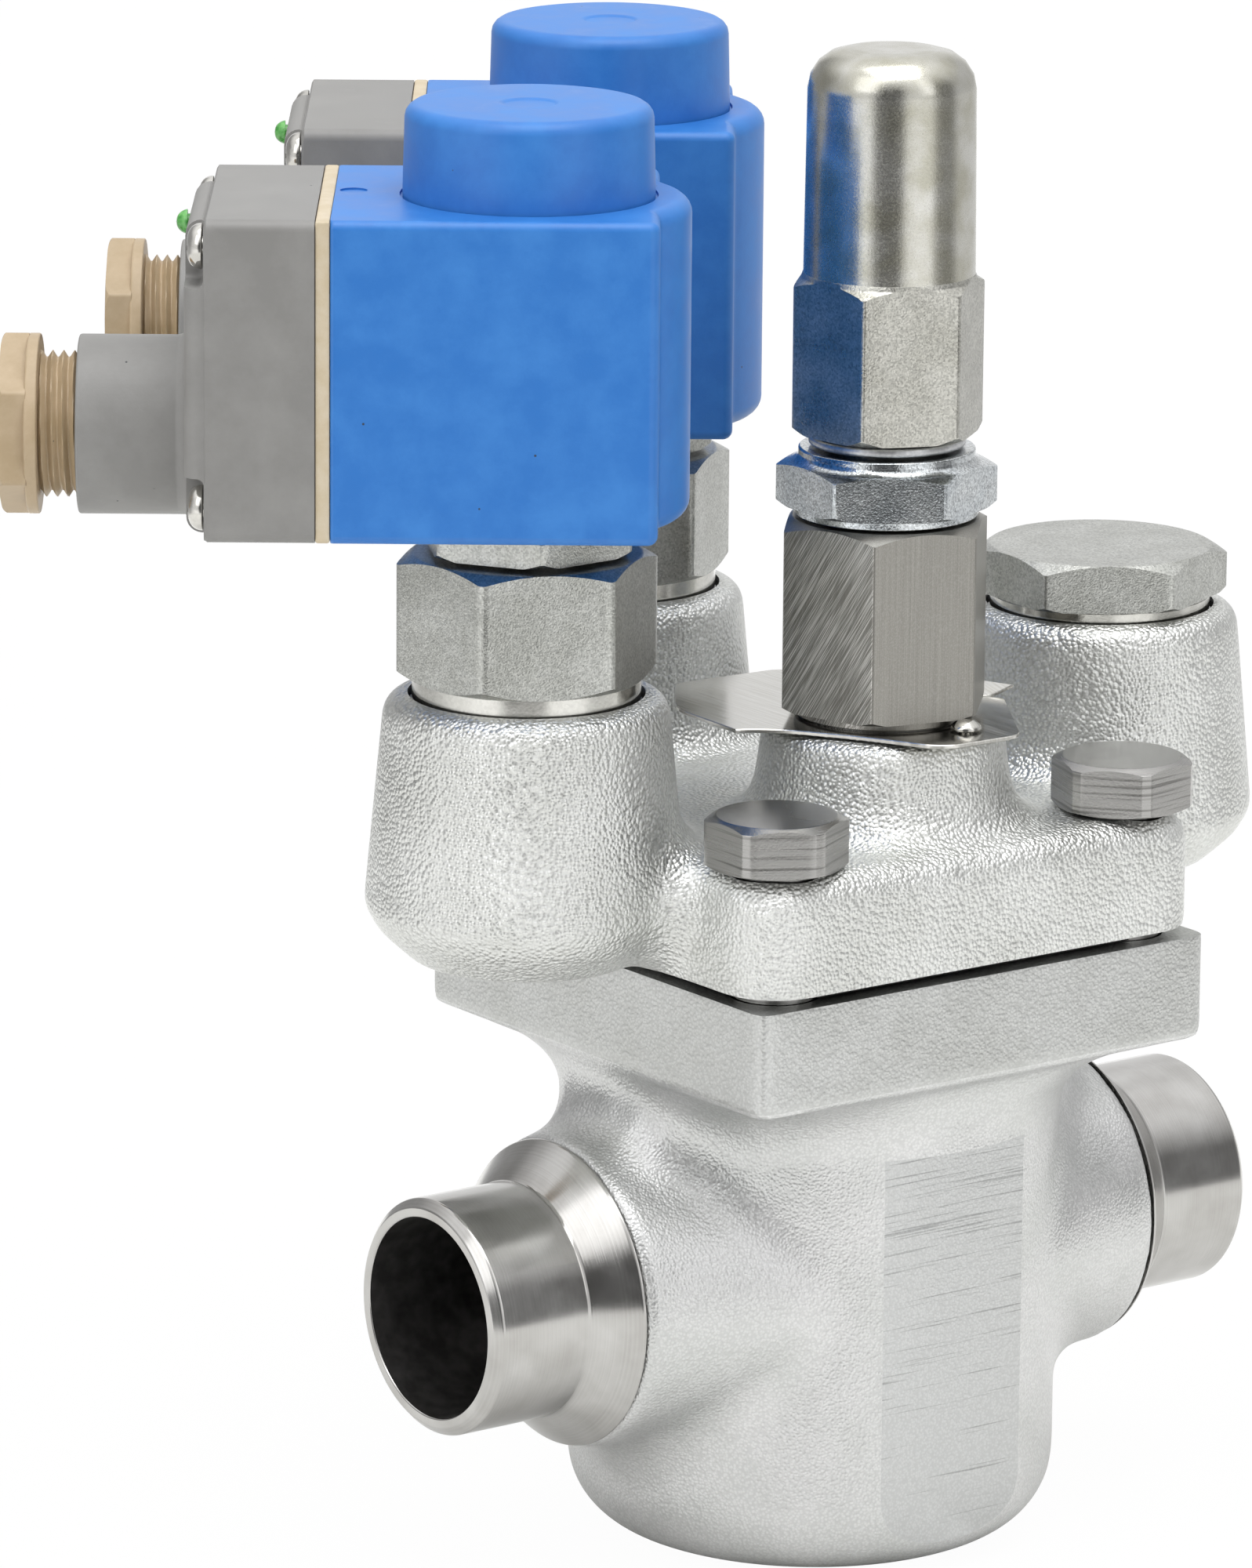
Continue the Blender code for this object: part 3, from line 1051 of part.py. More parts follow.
def build_gland(side, place, seal_seat, axis_z):
    """Rubber seal, washer and the pressure screw that the cable passes through."""
    seal_low = seal_seat + FIT
    seal_high = seal_low + 4.0 * MM
    thread = GLAND_THREAD_R
    collar = GLAND_BOSS_END + GLAND_NUT_SHOWN
    nut_low = collar - GLAND_NUT_SHOWN - 1.3 * MM
    washer_high = nut_low - FIT
    washer_low = washer_high - 1.0 * MM
    seal = ring(side + "_gland_seal", GLAND_CABLE_R, thread - 0.2 * MM, seal_low,
                min(seal_high, washer_low - GLAND_NUT_TRAVEL - FIT), RUBBER, steps=STEPS_SMALL)
    along_coil(seal, place, 0.0, axis_z)
    washer = ring(side + "_gland_washer", GLAND_CABLE_R, thread - 0.2 * MM, washer_low, washer_high,
                  ALUMINIUM, steps=STEPS_SMALL)
    along_coil(washer, place, 0.0, axis_z)
    hex_low = collar + 1.5 * MM
    end = hex_low + 3.8 * MM
    corner = GLAND_NUT_AF / math.sqrt(3)
    nut = turned(side + "_gland_nut", [
        (GLAND_CABLE_R, hex_low), (12.4 * MM, hex_low), (12.4 * MM, collar), (thread, collar),
        (thread, nut_low),
        (GLAND_CABLE_R, nut_low)], BEIGE, steps=STEPS_MID)
    along_coil(nut, place, 0.0, axis_z)
    head = turned(side + "_gland_head", [
        (GLAND_CABLE_R, end), (corner - 0.9 * MM, end), (corner, end - 0.8 * MM), (corner, hex_low - MM),
        (GLAND_CABLE_R, hex_low - MM)], None, steps=STEPS_MID)
    bar = hexagon(side + "_gland_bar", GLAND_NUT_AF, hex_low - 2 * MM, end + MM, (0, 0, 0), 0.0)
    boolean(along_coil(head, place, 0.0, axis_z), along_coil(bar, place, 0.0, axis_z), "INTERSECT")
    boolean(nut, head, "UNION")


def build_coil(side, place, tube_top):
    build_coil_housing(side, place, tube_top)
    build_terminal_gasket(side, place)
    seal_seat, axis_z = build_terminal_cover(side, place)
    build_gland(side, place, seal_seat, axis_z)


def main():
    build_body()
    build_cover()
    build_cover_gasket()
    build_cover_bolts()
    build_insert()
    build_piston()
    build_rod()
    build_throttle()
    build_disc()
    build_main_spring()
    hex_top, neck_top, bore_top = build_spindle_housing()
    nut_top = build_lock_nut(hex_top)
    build_cap(nut_top)
    build_spindle(neck_top, bore_top)
    build_name_plate()
    build_blanking_plug()
    turns = {"front": (34.4, 1.8), "back": (36.8, 12.0)}
    for side, place in PORTS.items():
        port_turn, nut_turn = turns[side]
        tube_top = build_pilot(side, place, port_turn, nut_turn)
        build_coil(side, place, tube_top)


main()
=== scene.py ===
# %% [markdown]
# # Dressing a servo valve
#
# A flanged, weld-in servo valve comes in as plain CAD solids. This lesson gives it its real surfaces: a
# forged body and a cast cover under rough zinc plating, bar-stock hexagons, a drawn cap, moulded coils and
# cable glands. The CAD stays where it is, and each new piece rides on the CAD body that carries the real one.

# %% Load the fixed frame
import math

import bmesh
import bpy
from mathutils import Matrix, Vector


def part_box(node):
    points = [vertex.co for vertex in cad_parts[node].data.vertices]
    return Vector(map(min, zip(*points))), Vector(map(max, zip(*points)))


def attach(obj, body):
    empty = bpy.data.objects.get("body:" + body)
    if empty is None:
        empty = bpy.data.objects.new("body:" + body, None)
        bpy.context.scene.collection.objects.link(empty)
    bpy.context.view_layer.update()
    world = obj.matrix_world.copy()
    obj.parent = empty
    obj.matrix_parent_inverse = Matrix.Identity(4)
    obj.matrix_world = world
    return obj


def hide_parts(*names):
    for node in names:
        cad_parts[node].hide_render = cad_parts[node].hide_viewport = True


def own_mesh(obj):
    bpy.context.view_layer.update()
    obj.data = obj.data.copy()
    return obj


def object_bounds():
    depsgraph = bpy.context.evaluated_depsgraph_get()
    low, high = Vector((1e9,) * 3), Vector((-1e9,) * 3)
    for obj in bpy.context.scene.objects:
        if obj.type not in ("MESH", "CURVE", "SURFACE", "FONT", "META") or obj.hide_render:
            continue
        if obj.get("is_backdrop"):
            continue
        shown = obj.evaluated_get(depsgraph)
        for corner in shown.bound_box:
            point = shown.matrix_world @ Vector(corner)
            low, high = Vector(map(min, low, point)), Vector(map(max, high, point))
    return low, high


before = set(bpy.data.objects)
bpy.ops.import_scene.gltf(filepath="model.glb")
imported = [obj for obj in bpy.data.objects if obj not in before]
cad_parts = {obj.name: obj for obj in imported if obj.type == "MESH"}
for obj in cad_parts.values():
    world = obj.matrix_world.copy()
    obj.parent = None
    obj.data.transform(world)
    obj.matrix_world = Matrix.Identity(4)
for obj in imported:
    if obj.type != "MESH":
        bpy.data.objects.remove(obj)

MM = 0.001
cad_low, cad_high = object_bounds()
print("CAD box:", [round(x, 4) for x in (*cad_low, *cad_high)])

# %% [markdown]
# ## Camera
# The photograph was taken with a long lens, a little above the valve and to its left. A long lens keeps
# upright edges nearly parallel. The place and the angles were measured from the pipe ends, the ports and the
# nuts.

# %% Camera
CAMERA_PLACE = Vector((-0.8013, -1.0396, 0.4308))
AZIMUTH, ELEVATION, ROLL = (math.radians(angle) for angle in (-36.416, 13.816, 0.435))
backward = Vector((math.sin(AZIMUTH) * math.cos(ELEVATION), -math.cos(AZIMUTH) * math.cos(ELEVATION),
                   math.sin(ELEVATION)))
level = Vector((math.cos(AZIMUTH), math.sin(AZIMUTH), 0.0))
upright = backward.cross(level)
across = level * math.cos(ROLL) + upright * math.sin(ROLL)
upward = upright * math.cos(ROLL) - level * math.sin(ROLL)

camera = bpy.data.objects.new("camera", bpy.data.cameras.new("camera"))
bpy.context.scene.collection.objects.link(camera)
turned = Matrix((across, upward, backward)).transposed().to_4x4()
camera.matrix_world = Matrix.Translation(CAMERA_PLACE) @ turned
camera.data.sensor_width = 36.0
camera.data.lens = 218.6
camera.data.shift_x = 0.00225
camera.data.shift_y = 0.00015
camera.data.clip_start = 0.05
camera.data.clip_end = 20.0
bpy.context.scene.camera = camera
bpy.context.scene.view_settings.view_transform = "Standard"
print("camera:", camera.data.lens, "mm lens,", round(CAMERA_PLACE.length, 2), "m away")

# %% [markdown]
# ## Colours and nodes
# Colours are picked as sRGB hex values, the way a screen shows them, and the shader works with linear light,
# so one function converts them. Another adds a node with its settings and its links, which keeps each
# material readable.


# %% Two small helpers
def linear(text):
    """An sRGB hex colour such as 3C7FD2 as linear red, green, blue and alpha."""
    parts = [int(text[i:i + 2], 16) / 255 for i in (0, 2, 4)]
    return [*(c / 12.92 if c <= 0.04045 else ((c + 0.055) / 1.055) ** 2.4 for c in parts), 1.0]


def add_node(tree, kind, inputs=None, **settings):
    """A new node; each input takes a value, another node's output, or a node for its first output."""
    made = tree.nodes.new("ShaderNode" + kind)
    for name, value in settings.items():
        setattr(made, name, value)
    for name, value in (inputs or {}).items():
        if isinstance(value, bpy.types.Node):
            value = value.outputs[0]
        if isinstance(value, bpy.types.NodeSocket):
            tree.links.new(value, made.inputs[name])
        else:
            made.inputs[name].default_value = value
    return made


# %% [markdown]
# ## Studio
# Bright metal shows its surroundings, so the studio matters more than the lamps. The world is a ring of soft
# boxes with dark gaps between them: the gaps draw the dark stripes on the cap. The camera itself sees plain
# white. The floor is pale, and it keeps a soft shadow. Further out, the floor's colour is painted with the same
# ring of bright boxes and dark gaps, a painted studio for the metal to reflect.

# %% World
WORLD_STRENGTH = 0.95
OVERHEAD = (1.25, 1.25, 1.25, 1.0)
# degrees round the valve, and how bright the studio is there, as a share of the brightest box
STUDIO = [(-180, 1.0), (-156, 1.0), (-147, 0.12), (-114, 0.12), (-106, 1.0), (-72, 1.0), (-62, 0.25),
          (-38, 0.25), (-26, 0.65), (30, 0.65), (42, 1.0), (66, 1.0), (76, 0.40), (132, 0.40), (160, 0.85),
          (180, 1.0)]


def studio_ring(tree, parts):
    """The tone of the studio in the direction that parts holds."""
    turn = add_node(tree, "Math", {0: parts.outputs["Y"], 1: parts.outputs["X"]}, operation="ARCTAN2")
    share = add_node(tree, "MapRange", {"Value": turn, "From Min": -math.pi, "From Max": math.pi})
    ring = add_node(tree, "ValToRGB", {0: share})
    while len(ring.color_ramp.elements) < len(STUDIO):
        ring.color_ramp.elements.new(1.0)
    for stop, (degrees, tone) in zip(ring.color_ramp.elements, STUDIO):
        stop.position = (degrees + 180) / 360
        stop.color = (tone, tone, tone, 1.0)
    return ring


world = bpy.data.worlds.new("studio")
bpy.context.scene.world = world
world.use_nodes = True
sky = world.node_tree
sky.nodes.clear()
direction = add_node(sky, "TexCoord").outputs["Generated"]
parts = add_node(sky, "SeparateXYZ", {0: direction})
boxes = studio_ring(sky, parts)
overhead = add_node(sky, "MapRange", {"Value": parts.outputs["Z"], "From Min": 0.40, "From Max": 0.80})
dome_tone = add_node(sky, "MixRGB", {0: overhead, 1: boxes, 2: OVERHEAD})
studio_light = add_node(sky, "Background", {"Color": dome_tone, "Strength": WORLD_STRENGTH})
white = add_node(sky, "Background", {"Color": (1.0, 1.0, 1.0, 1.0), "Strength": 1.0})
path = add_node(sky, "LightPath")
seen = add_node(sky, "Math", {0: path.outputs["Is Camera Ray"], 1: path.outputs["Is Transmission Ray"]},
                operation="MAXIMUM")
shown = add_node(sky, "MixShader", {0: seen, 1: studio_light, 2: white})
add_node(sky, "OutputWorld", {"Surface": shown})
print("studio:", len(STUDIO), "stops round the valve")

# %% Floor
floor_shape = bmesh.new()
bmesh.ops.create_circle(floor_shape, cap_ends=True, segments=64, radius=6.0)
bmesh.ops.translate(floor_shape, verts=floor_shape.verts, vec=(0, 0, cad_low.z - 0.0001))
floor_mesh = bpy.data.meshes.new("floor")
floor_shape.to_mesh(floor_mesh)
floor_shape.free()
floor = bpy.data.objects.new("floor", floor_mesh)
bpy.context.scene.collection.objects.link(floor)
floor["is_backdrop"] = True
paper = bpy.data.materials.new("paper_sweep_with_painted_studio")
paper.use_nodes = True
tree = paper.node_tree
tree.nodes.clear()
spot = add_node(tree, "SeparateXYZ", {0: add_node(tree, "TexCoord").outputs["Object"]})
reach = add_node(tree, "VectorMath", {0: add_node(tree, "TexCoord").outputs["Object"]}, operation="LENGTH")
# painted light: beyond about half a metre the floor's colour is painted with the studio's bright boxes and dark
# gaps
beyond = add_node(tree, "MapRange", {"Value": reach.outputs["Value"], "From Min": 0.48, "From Max": 0.60})
sweep = add_node(tree, "MixRGB", {0: beyond, 1: linear("EDEDEB"),
                                  2: studio_ring(tree, spot)})
matt = add_node(tree, "BsdfDiffuse", {"Color": sweep})
glow = add_node(tree, "Emission", {"Color": (1.0, 1.0, 1.0, 1.0), "Strength": 1.0})
path = add_node(tree, "LightPath")
lift = add_node(tree, "Math", {0: path.outputs["Is Camera Ray"], 1: 0.97}, operation="MULTIPLY")
paper_mix = add_node(tree, "MixShader", {0: lift, 1: matt, 2: glow})
add_node(tree, "OutputMaterial", {"Surface": paper_mix})
floor_mesh.materials.append(paper)
print("floor:", paper.name)

# %% Lamps
# name, direction from the valve in degrees round and up, width and height in metres, power in watts
LAMPS = [("key", -165, 38, 0.9, 1.2, 3.4), ("fill", -75, 30, 0.5, 1.2, 1.4),
         ("top", -110, 80, 1.2, 1.2, 13.0)]
LAMP_DISTANCE = 1.6
for name, degrees, up, width, tall, power in LAMPS:
    lamp = bpy.data.objects.new(name, bpy.data.lights.new(name, "AREA"))
    lamp.data.shape = "RECTANGLE"
    lamp.data.size, lamp.data.size_y = width, tall
    lamp.data.energy = power
    a, e = math.radians(degrees), math.radians(up)
    out = Vector((math.cos(a) * math.cos(e), math.sin(a) * math.cos(e), math.sin(e)))
    lamp.location = out * LAMP_DISTANCE + Vector((0, 0, 0.1))
    lamp.rotation_euler = out.to_track_quat("Z", "Y").to_euler()
    bpy.context.scene.collection.objects.link(lamp)
    print(name, "lamp:", power, "W")

# %% [markdown]
# ## Materials
# Every finish starts from what the real one is. Metals have metallic 1 and no diffuse light of their own, so
# their look is roughness and relief. Relief is given as a real height through the Bump node's distance, and
# each pattern's scale is one over the real size of its grain. All patterns are drawn on the object's own
# coordinates.


# %% Starting a material
def begin(name, colour, metallic, roughness):
    """A material with its Principled shader, and the object's own coordinates to draw patterns on."""
    material = bpy.data.materials.new(name)
    material.use_nodes = True
    tree = material.node_tree
    shader = tree.nodes["Principled BSDF"]
    shader.inputs["Base Color"].default_value = linear(colour)
    shader.inputs["Metallic"].default_value = metallic
    shader.inputs["Roughness"].default_value = roughness
    return material, tree, shader, add_node(tree, "TexCoord").outputs["Object"]


def per(size_mm):
    """A texture scale whose cells are this many millimetres across."""
    return 1 / (size_mm * MM)


def stretched(tree, place, sizes_mm, **more):
    """A noise drawn out into lines, by its grain's size on each axis. An axis with size 0 is left out."""
    scale = [per(size) if size else 0.0 for size in sizes_mm]
    spread = add_node(tree, "Mapping", {"Vector": place, "Scale": scale})
    return add_node(tree, "TexNoise", {"Vector": spread, "Scale": 1.0, "Detail": 2.0, **more})


def tint(tree, shader, pattern, low, high, start=0.35, end=0.65):
    """Let a pattern drift the colour between two near tones."""
    share = add_node(tree, "MapRange", {"Value": pattern, "From Min": start, "From Max": end})
    mixed = add_node(tree, "MixRGB", {0: share, 1: linear(low), 2: linear(high)})
    tree.links.new(mixed.outputs[0], shader.inputs["Base Color"])
    return mixed


def relief(tree, shader, layers):
    """Stack bumps; each layer is a pattern and its height in millimetres."""
    normal = None
    for pattern, height in layers:
        inputs = {"Height": pattern, "Distance": abs(height) * MM, "Strength": 1.0}
        if normal is not None:
            inputs["Normal"] = normal
        normal = add_node(tree, "Bump", inputs, invert=height < 0)
    tree.links.new(normal.outputs[0], shader.inputs["Normal"])


def rough(tree, shader, pattern, low, high):
    """Let a pattern drift the roughness."""
    share = add_node(tree, "MapRange", {"Value": pattern, "From Min": 0.3, "From Max": 0.7, "To Min": low,
                                        "To Max": high})
    tree.links.new(share.outputs[0], shader.inputs["Roughness"])


def shade(tree, shader, tone, pattern, start, end, full, least):
    """Multiply a tone by a pattern: painted shade where it darkens valleys, a grain's own tone where it darkens
    single grains.
    """
    share = add_node(tree, "MapRange", {"Value": pattern, "From Min": start, "From Max": end, "To Min": full,
                                        "To Max": least})
    shaded = add_node(tree, "MixRGB", {0: 1.0, 1: tone, 2: share}, blend_type="MULTIPLY")
    tree.links.new(shaded.outputs[0], shader.inputs["Base Color"])


# %% [markdown]
# ### Zinc-plated casting and forging
# The cover is cast in a sand mould, so its skin is an orange peel of beads about 0.6 mm across, and the thin
# bright zinc over it glitters at each bead. The body is forged and shot-blasted, so its beads are finer and
# flatter. Cells draw the beads, and painted shade darkens the valleys between them. Two noises, one finer and
# one wider, lie over the cells, because one pattern alone looks printed.

# %% Castings
CAST_SKINS = {  # name: bead in mm, its height, fine grain in mm, its height, roughness, low and high tone
    "zinc_plated_sand_casting": (0.60, 0.240, 0.22, 0.022, 0.40, "DBDCD9", "E9EAE8"),
    "zinc_plated_forging": (0.44, 0.080, 0.20, 0.022, 0.37, "D3D4D3", "E0E0E0"),
    "zinc_plated_machined_face": (0.50, 0.060, 0.22, 0.024, 0.38, "C4C5C3", "D1D2D1"),
}
skins = {}
for name, (bead, high, fine, low, gloss, dull, bright) in CAST_SKINS.items():
    skin, tree, shader, place = begin(name, dull, 1.0, gloss)
    beads = add_node(tree, "TexVoronoi", {"Vector": place, "Scale": per(bead)})
    small = add_node(tree, "TexNoise", {"Vector": place, "Scale": per(fine), "Detail": 1.0})
    waves = add_node(tree, "TexNoise", {"Vector": place, "Scale": per(2.4), "Detail": 2.0})
    drift = add_node(tree, "TexNoise", {"Vector": place, "Scale": per(14.0), "Detail": 3.0})
    tone = tint(tree, shader, drift, dull, bright)
    # painted shade: the valleys between the beads are darkened
    shade(tree, shader, tone, beads.outputs["Distance"], 0.25, 0.65, 1.0, 0.86)
    rough(tree, shader, drift, gloss - 0.03, gloss + 0.06)
    relief(tree, shader, [(waves, high * 0.7), (beads.outputs["Distance"], -high),
                          (small, low)])
    skins[name] = skin
casting, forging, ground = skins.values()
print("castings:", ", ".join(skins))

# %% [markdown]
# ### Milled flats
# Each flat on the body's side was milled after forging. Under the zinc the cutter left level scores, most of
# them in the upper half. A noise is squeezed in Z and stretched along X, and only its lowest values are
# drawn, fewer of them further down. The zinc's own grain lies over all of it, with painted shade in the
# valleys between its grains. The flat's tone is darker than the forging's: partly the machined zinc's own
# tone, partly painted shade for the flat facing another way than the round column beside it.

# %% Milled flat
# The flat's tones are darker than the forging's: partly its own machined tone, partly painted shade for its
# other facing.
milled, tree, shader, place = begin("zinc_plated_milled_flat", "CCCDCD", 1.0, 0.36)
lines = stretched(tree, place, (20.0, 20.0, 0.28))
level = add_node(tree, "SeparateXYZ", {"Vector": place})
fewer = add_node(tree, "MapRange", {"Value": level.outputs["Z"], "From Min": 22 * MM, "From Max": 46 * MM,
                                    "To Min": 0.09, "To Max": 0.0})
scores = add_node(tree, "Math", {0: lines, 1: fewer})
tone = tint(tree, shader, scores, "ABACAC", "CCCDCD", 0.35, 0.43)
grain = add_node(tree, "TexVoronoi", {"Vector": place, "Scale": per(0.42)})
# painted shade: the valleys between the zinc's grains are darkened
shade(tree, shader, tone, grain.outputs["Distance"], 0.2, 0.65, 1.0, 0.88)
relief(tree, shader, [(scores, 0.020), (grain.outputs["Distance"], -0.040)])
print("flats:", milled.name)

# %% [markdown]
# ### Bright turned steel
# The weld ends are bare steel straight from the lathe. The tool leaves rings square to the pipe's axis, which
# is X here, so only X is let into the noise. Oil and the first rust give it a brown tone.

# %% Bare turned steel, and the bores darkened as painted shade
turned_steel, tree, shader, place = begin("bare_turned_steel", "B7B5B2", 1.0, 0.18)
rings = stretched(tree, place, (0.24, 0, 0), Roughness=0.6)
film = add_node(tree, "TexNoise", {"Vector": place, "Scale": per(7.0), "Detail": 4.0})
streak = add_node(tree, "MixRGB", {0: 0.65, 1: rings, 2: film})
tint(tree, shader, streak, "ADABA8", "C6C5C3")
rough(tree, shader, film, 0.13, 0.22)
relief(tree, shader, [(rings, 0.006)])

# painted shade: the bores, passages and drilled holes take a darker tone than the surfaces outside them
dark_bore, tree, shader, place = begin("bore_darkened_as_painted_shade", "8C8A88", 1.0, 0.42)
mottle = add_node(tree, "TexNoise", {"Vector": place, "Scale": per(2.5), "Detail": 4.0})
tint(tree, shader, mottle, "6C6A69", "898786")
relief(tree, shader, [(mottle, 0.03)])
print("weld ends:", turned_steel.name, "and", dark_bore.name)

# %% [markdown]
# ### Plated bar and bright zinc
# The pilot housings, the blanking plug and the cap's hexagon are bar stock, tumbled before plating, which
# leaves a fine pearly bead. The lock nut has a brighter bluish zinc, and what is turned last is brighter
# still. The drawn dome is smoother, with faint level marks of the drawing die and a scatter of tiny pits.

# %% Zinc finishes on steel
ZINC_FINISHES = {  # name: low tone, high tone, roughness, bead in mm, its height in mm, a dull grain's share
    "tumbled_zinc_plated_bar": ("B6B7B2", "C7C8C4", 0.32, 0.26, 0.045, 0.62),
    "bright_blue_zinc": ("C6CCD0", "D8DCDE", 0.16, 0.26, 0.024, 0.42),
    "zinc_plated_cap_hexagon": ("B4B3AB", "C6C5BE", 0.28, 0.26, 0.045, 0.58),
    "bright_zinc_screw": ("BFBDB8", "D2D0CB", 0.14, 0.50, 0.003, 0.95),
    "bright_turned_zinc": ("BCBBB5", "CFCEC9", 0.15, 0.40, 0.004, 0.92),
}
zincs = {}
for name, (low, high, gloss, bead, step, dull) in ZINC_FINISHES.items():
    finish, tree, shader, place = begin(name, low, 1.0, gloss)
    beads = add_node(tree, "TexNoise", {"Vector": place, "Scale": per(bead), "Detail": 1.0})
    grains = add_node(tree, "TexVoronoi", {"Vector": place, "Scale": per(bead)})
    drift = add_node(tree, "TexNoise", {"Vector": place, "Scale": per(6.0), "Detail": 3.0})
    tone = tint(tree, shader, drift, low, high)
    shade(tree, shader, tone, grains.outputs["Color"], 0.0, 0.8, dull, 1.06)
    rough(tree, shader, drift, gloss - 0.03, gloss + 0.06)
    relief(tree, shader, [(beads, step)])
    zincs[name] = finish
tumbled, blue_zinc, cap_hexagon, bright_screw, bright_collar = zincs.values()

drawn, tree, shader, place = begin("drawn_zinc_cap", "BFBDB2", 1.0, 0.17)
marks = stretched(tree, place, (30.0, 30.0, 0.55))
speck = add_node(tree, "TexNoise", {"Vector": place, "Scale": per(0.28), "Detail": 2.0})
drift = add_node(tree, "TexNoise", {"Vector": place, "Scale": per(5.0), "Detail": 3.0})
tint(tree, shader, drift, "B7B5A8", "CFCEC8")
rough(tree, shader, speck, 0.19, 0.30)
relief(tree, shader, [(marks, 0.006), (speck, 0.010)])
print("zinc:", ", ".join(zincs), "and", drawn.name)

# %% [markdown]
# ### Stainless steel
# The long centre hexagon is cold-drawn stainless bar with upright draw lines, and a spanner has scored one of
# its flats with slanting scratches. The scratches are drawn near white: partly the bright metal they bare,
# partly a painted glint on the flat that faces the key lamp. The bolts have level rolling lines. The plate is
# a thin polished sheet.

# %% Stainless finishes
SCORED_WAY = math.radians(196.3)  # where the flat that the spanner scored faces
SCORED_SIDE = (math.cos(SCORED_WAY), math.sin(SCORED_WAY), 0.0)
SCRATCH_LEAN = math.radians(32)
scratched, tree, shader, place = begin("scratched_drawn_stainless", "9C9A94", 1.0, 0.36)
draw = stretched(tree, place, (0.16, 0.16, 22.0))
leaning = add_node(tree, "VectorRotate", {"Vector": place, "Axis": SCORED_SIDE, "Angle": SCRATCH_LEAN})
scratch = stretched(tree, leaning, (0.13, 0.13, 7.0))
deep = add_node(tree, "MapRange", {"Value": scratch, "From Min": 0.46, "From Max": 0.62})
facing = add_node(tree, "VectorMath", {0: add_node(tree, "TexCoord").outputs["Normal"], 1: SCORED_SIDE},
                  operation="DOT_PRODUCT")
here = add_node(tree, "MapRange", {"Value": facing.outputs["Value"], "From Min": 0.90, "From Max": 0.96,
                                   "To Min": 0.12, "To Max": 1.0})
seen = add_node(tree, "Math", {0: deep, 1: here}, operation="MULTIPLY")
worn = tint(tree, shader, draw, "86847F", "989690", 0.3, 0.7)
# The scratches' near-white tone is partly their own bright metal, partly a painted glint on the flat facing the
# key lamp.
light = add_node(tree, "MixRGB", {0: seen, 1: worn, 2: linear("D8D6D2")})
tree.links.new(light.outputs[0], shader.inputs["Base Color"])
rough(tree, shader, draw, 0.34, 0.42)
relief(tree, shader, [(draw, 0.004), (seen, 0.005)])

rolled, tree, shader, place = begin("rolled_stainless", "B5B4B1", 1.0, 0.24)
rolling = stretched(tree, place, (28.0, 28.0, 0.55), Detail=3.0)
bead = add_node(tree, "TexNoise", {"Vector": place, "Scale": per(0.35), "Detail": 1.0})
tint(tree, shader, rolling, "797876", "A5A4A2", 0.34, 0.46)
rough(tree, shader, rolling, 0.18, 0.32)
relief(tree, shader, [(rolling, 0.010), (bead, 0.012)])

sheet, tree, shader, place = begin("polished_stainless_sheet", "C9C8C3", 1.0, 0.16)
polish = stretched(tree, place, (0.4, 12.0, 12.0))
tint(tree, shader, polish, "BBB9B3", "D3D2CE", 0.3, 0.7)
rough(tree, shader, polish, 0.12, 0.22)
relief(tree, shader, [(polish, 0.002)])
print("stainless:", ", ".join(finish.name for finish in (scratched, rolled, sheet)))

# %% [markdown]
# ### Moulded plastics and rubber
# The coil is moulded in blue filled polyester with a satin skin, scuffed lighter in patches and dotted with
# dark specks. The terminal cover is grey polyamide, the gland beige polyamide, and the flat seal ivory
# silicone.

# %% Plastics
PLASTICS = {  # name: main tone, scuffed tone, roughness, skin in mm, its height in mm, drift in mm
    "moulded_blue_polyester": ("2B72C1", "367ECB", 0.40, 0.35, 0.010, 7.0),
    "moulded_grey_polyamide": ("838280", "8D8C8A", 0.46, 0.30, 0.010, 9.0),
    "moulded_beige_polyamide": ("AB9779", "B6A286", 0.42, 0.40, 0.005, 5.0),
    "ivory_silicone": ("C4B599", "CEC2AC", 0.60, 0.25, 0.012, 3.0),
}
plastics = {}
for name, (main, scuffed, gloss, skin_grain, step, patch) in PLASTICS.items():
    finish, tree, shader, place = begin(name, main, 0.0, gloss)
    patches = add_node(tree, "TexNoise", {"Vector": place, "Scale": per(patch), "Detail": 6.0,
                                          "Roughness": 0.65})
    tone = tint(tree, shader, patches, main, scuffed, 0.40, 0.68)
    cells = add_node(tree, "TexVoronoi", {"Vector": place, "Scale": per(4.5)})
    dots = add_node(tree, "MapRange", {"Value": cells.outputs["Distance"], "From Min": 0.028, "From Max": 0.045,
                                       "To Min": 1.0, "To Max": 0.0})
    chance = add_node(tree, "MapRange", {"Value": cells.outputs["Color"], "From Min": 0.70, "From Max": 0.72})
    speck = add_node(tree, "Math", {0: dots, 1: chance}, operation="MULTIPLY")
    dirty = add_node(tree, "MixRGB", {0: speck, 1: tone, 2: linear("33363A")})
    tree.links.new(dirty.outputs[0], shader.inputs["Base Color"])
    skin = add_node(tree, "TexNoise", {"Vector": place, "Scale": per(skin_grain), "Detail": 1.5})
    rough(tree, shader, patches, gloss - 0.04, gloss + 0.10)
    relief(tree, shader, [(skin, step)])
    plastics[name] = finish
blue, grey, beige, ivory = plastics.values()
print("plastics:", ", ".join(plastics))

# %% [markdown]
# ### Lens, seals and inner pieces
# The indicator lens is tinted acrylic. The seals, the windings and the ground inner pieces hardly show, but
# each still gets the finish of the real thing.

# %% Lens and inner finishes
lens_green, tree, shader, place = begin("green_acrylic_lens", "5FBE58", 0.0, 0.12)
shader.inputs["Transmission Weight"].default_value = 0.35
shader.inputs["IOR"].default_value = 1.49
cloud = add_node(tree, "TexNoise", {"Vector": place, "Scale": per(0.9), "Detail": 2.0})
tint(tree, shader, cloud, "4FA84B", "86D67A")

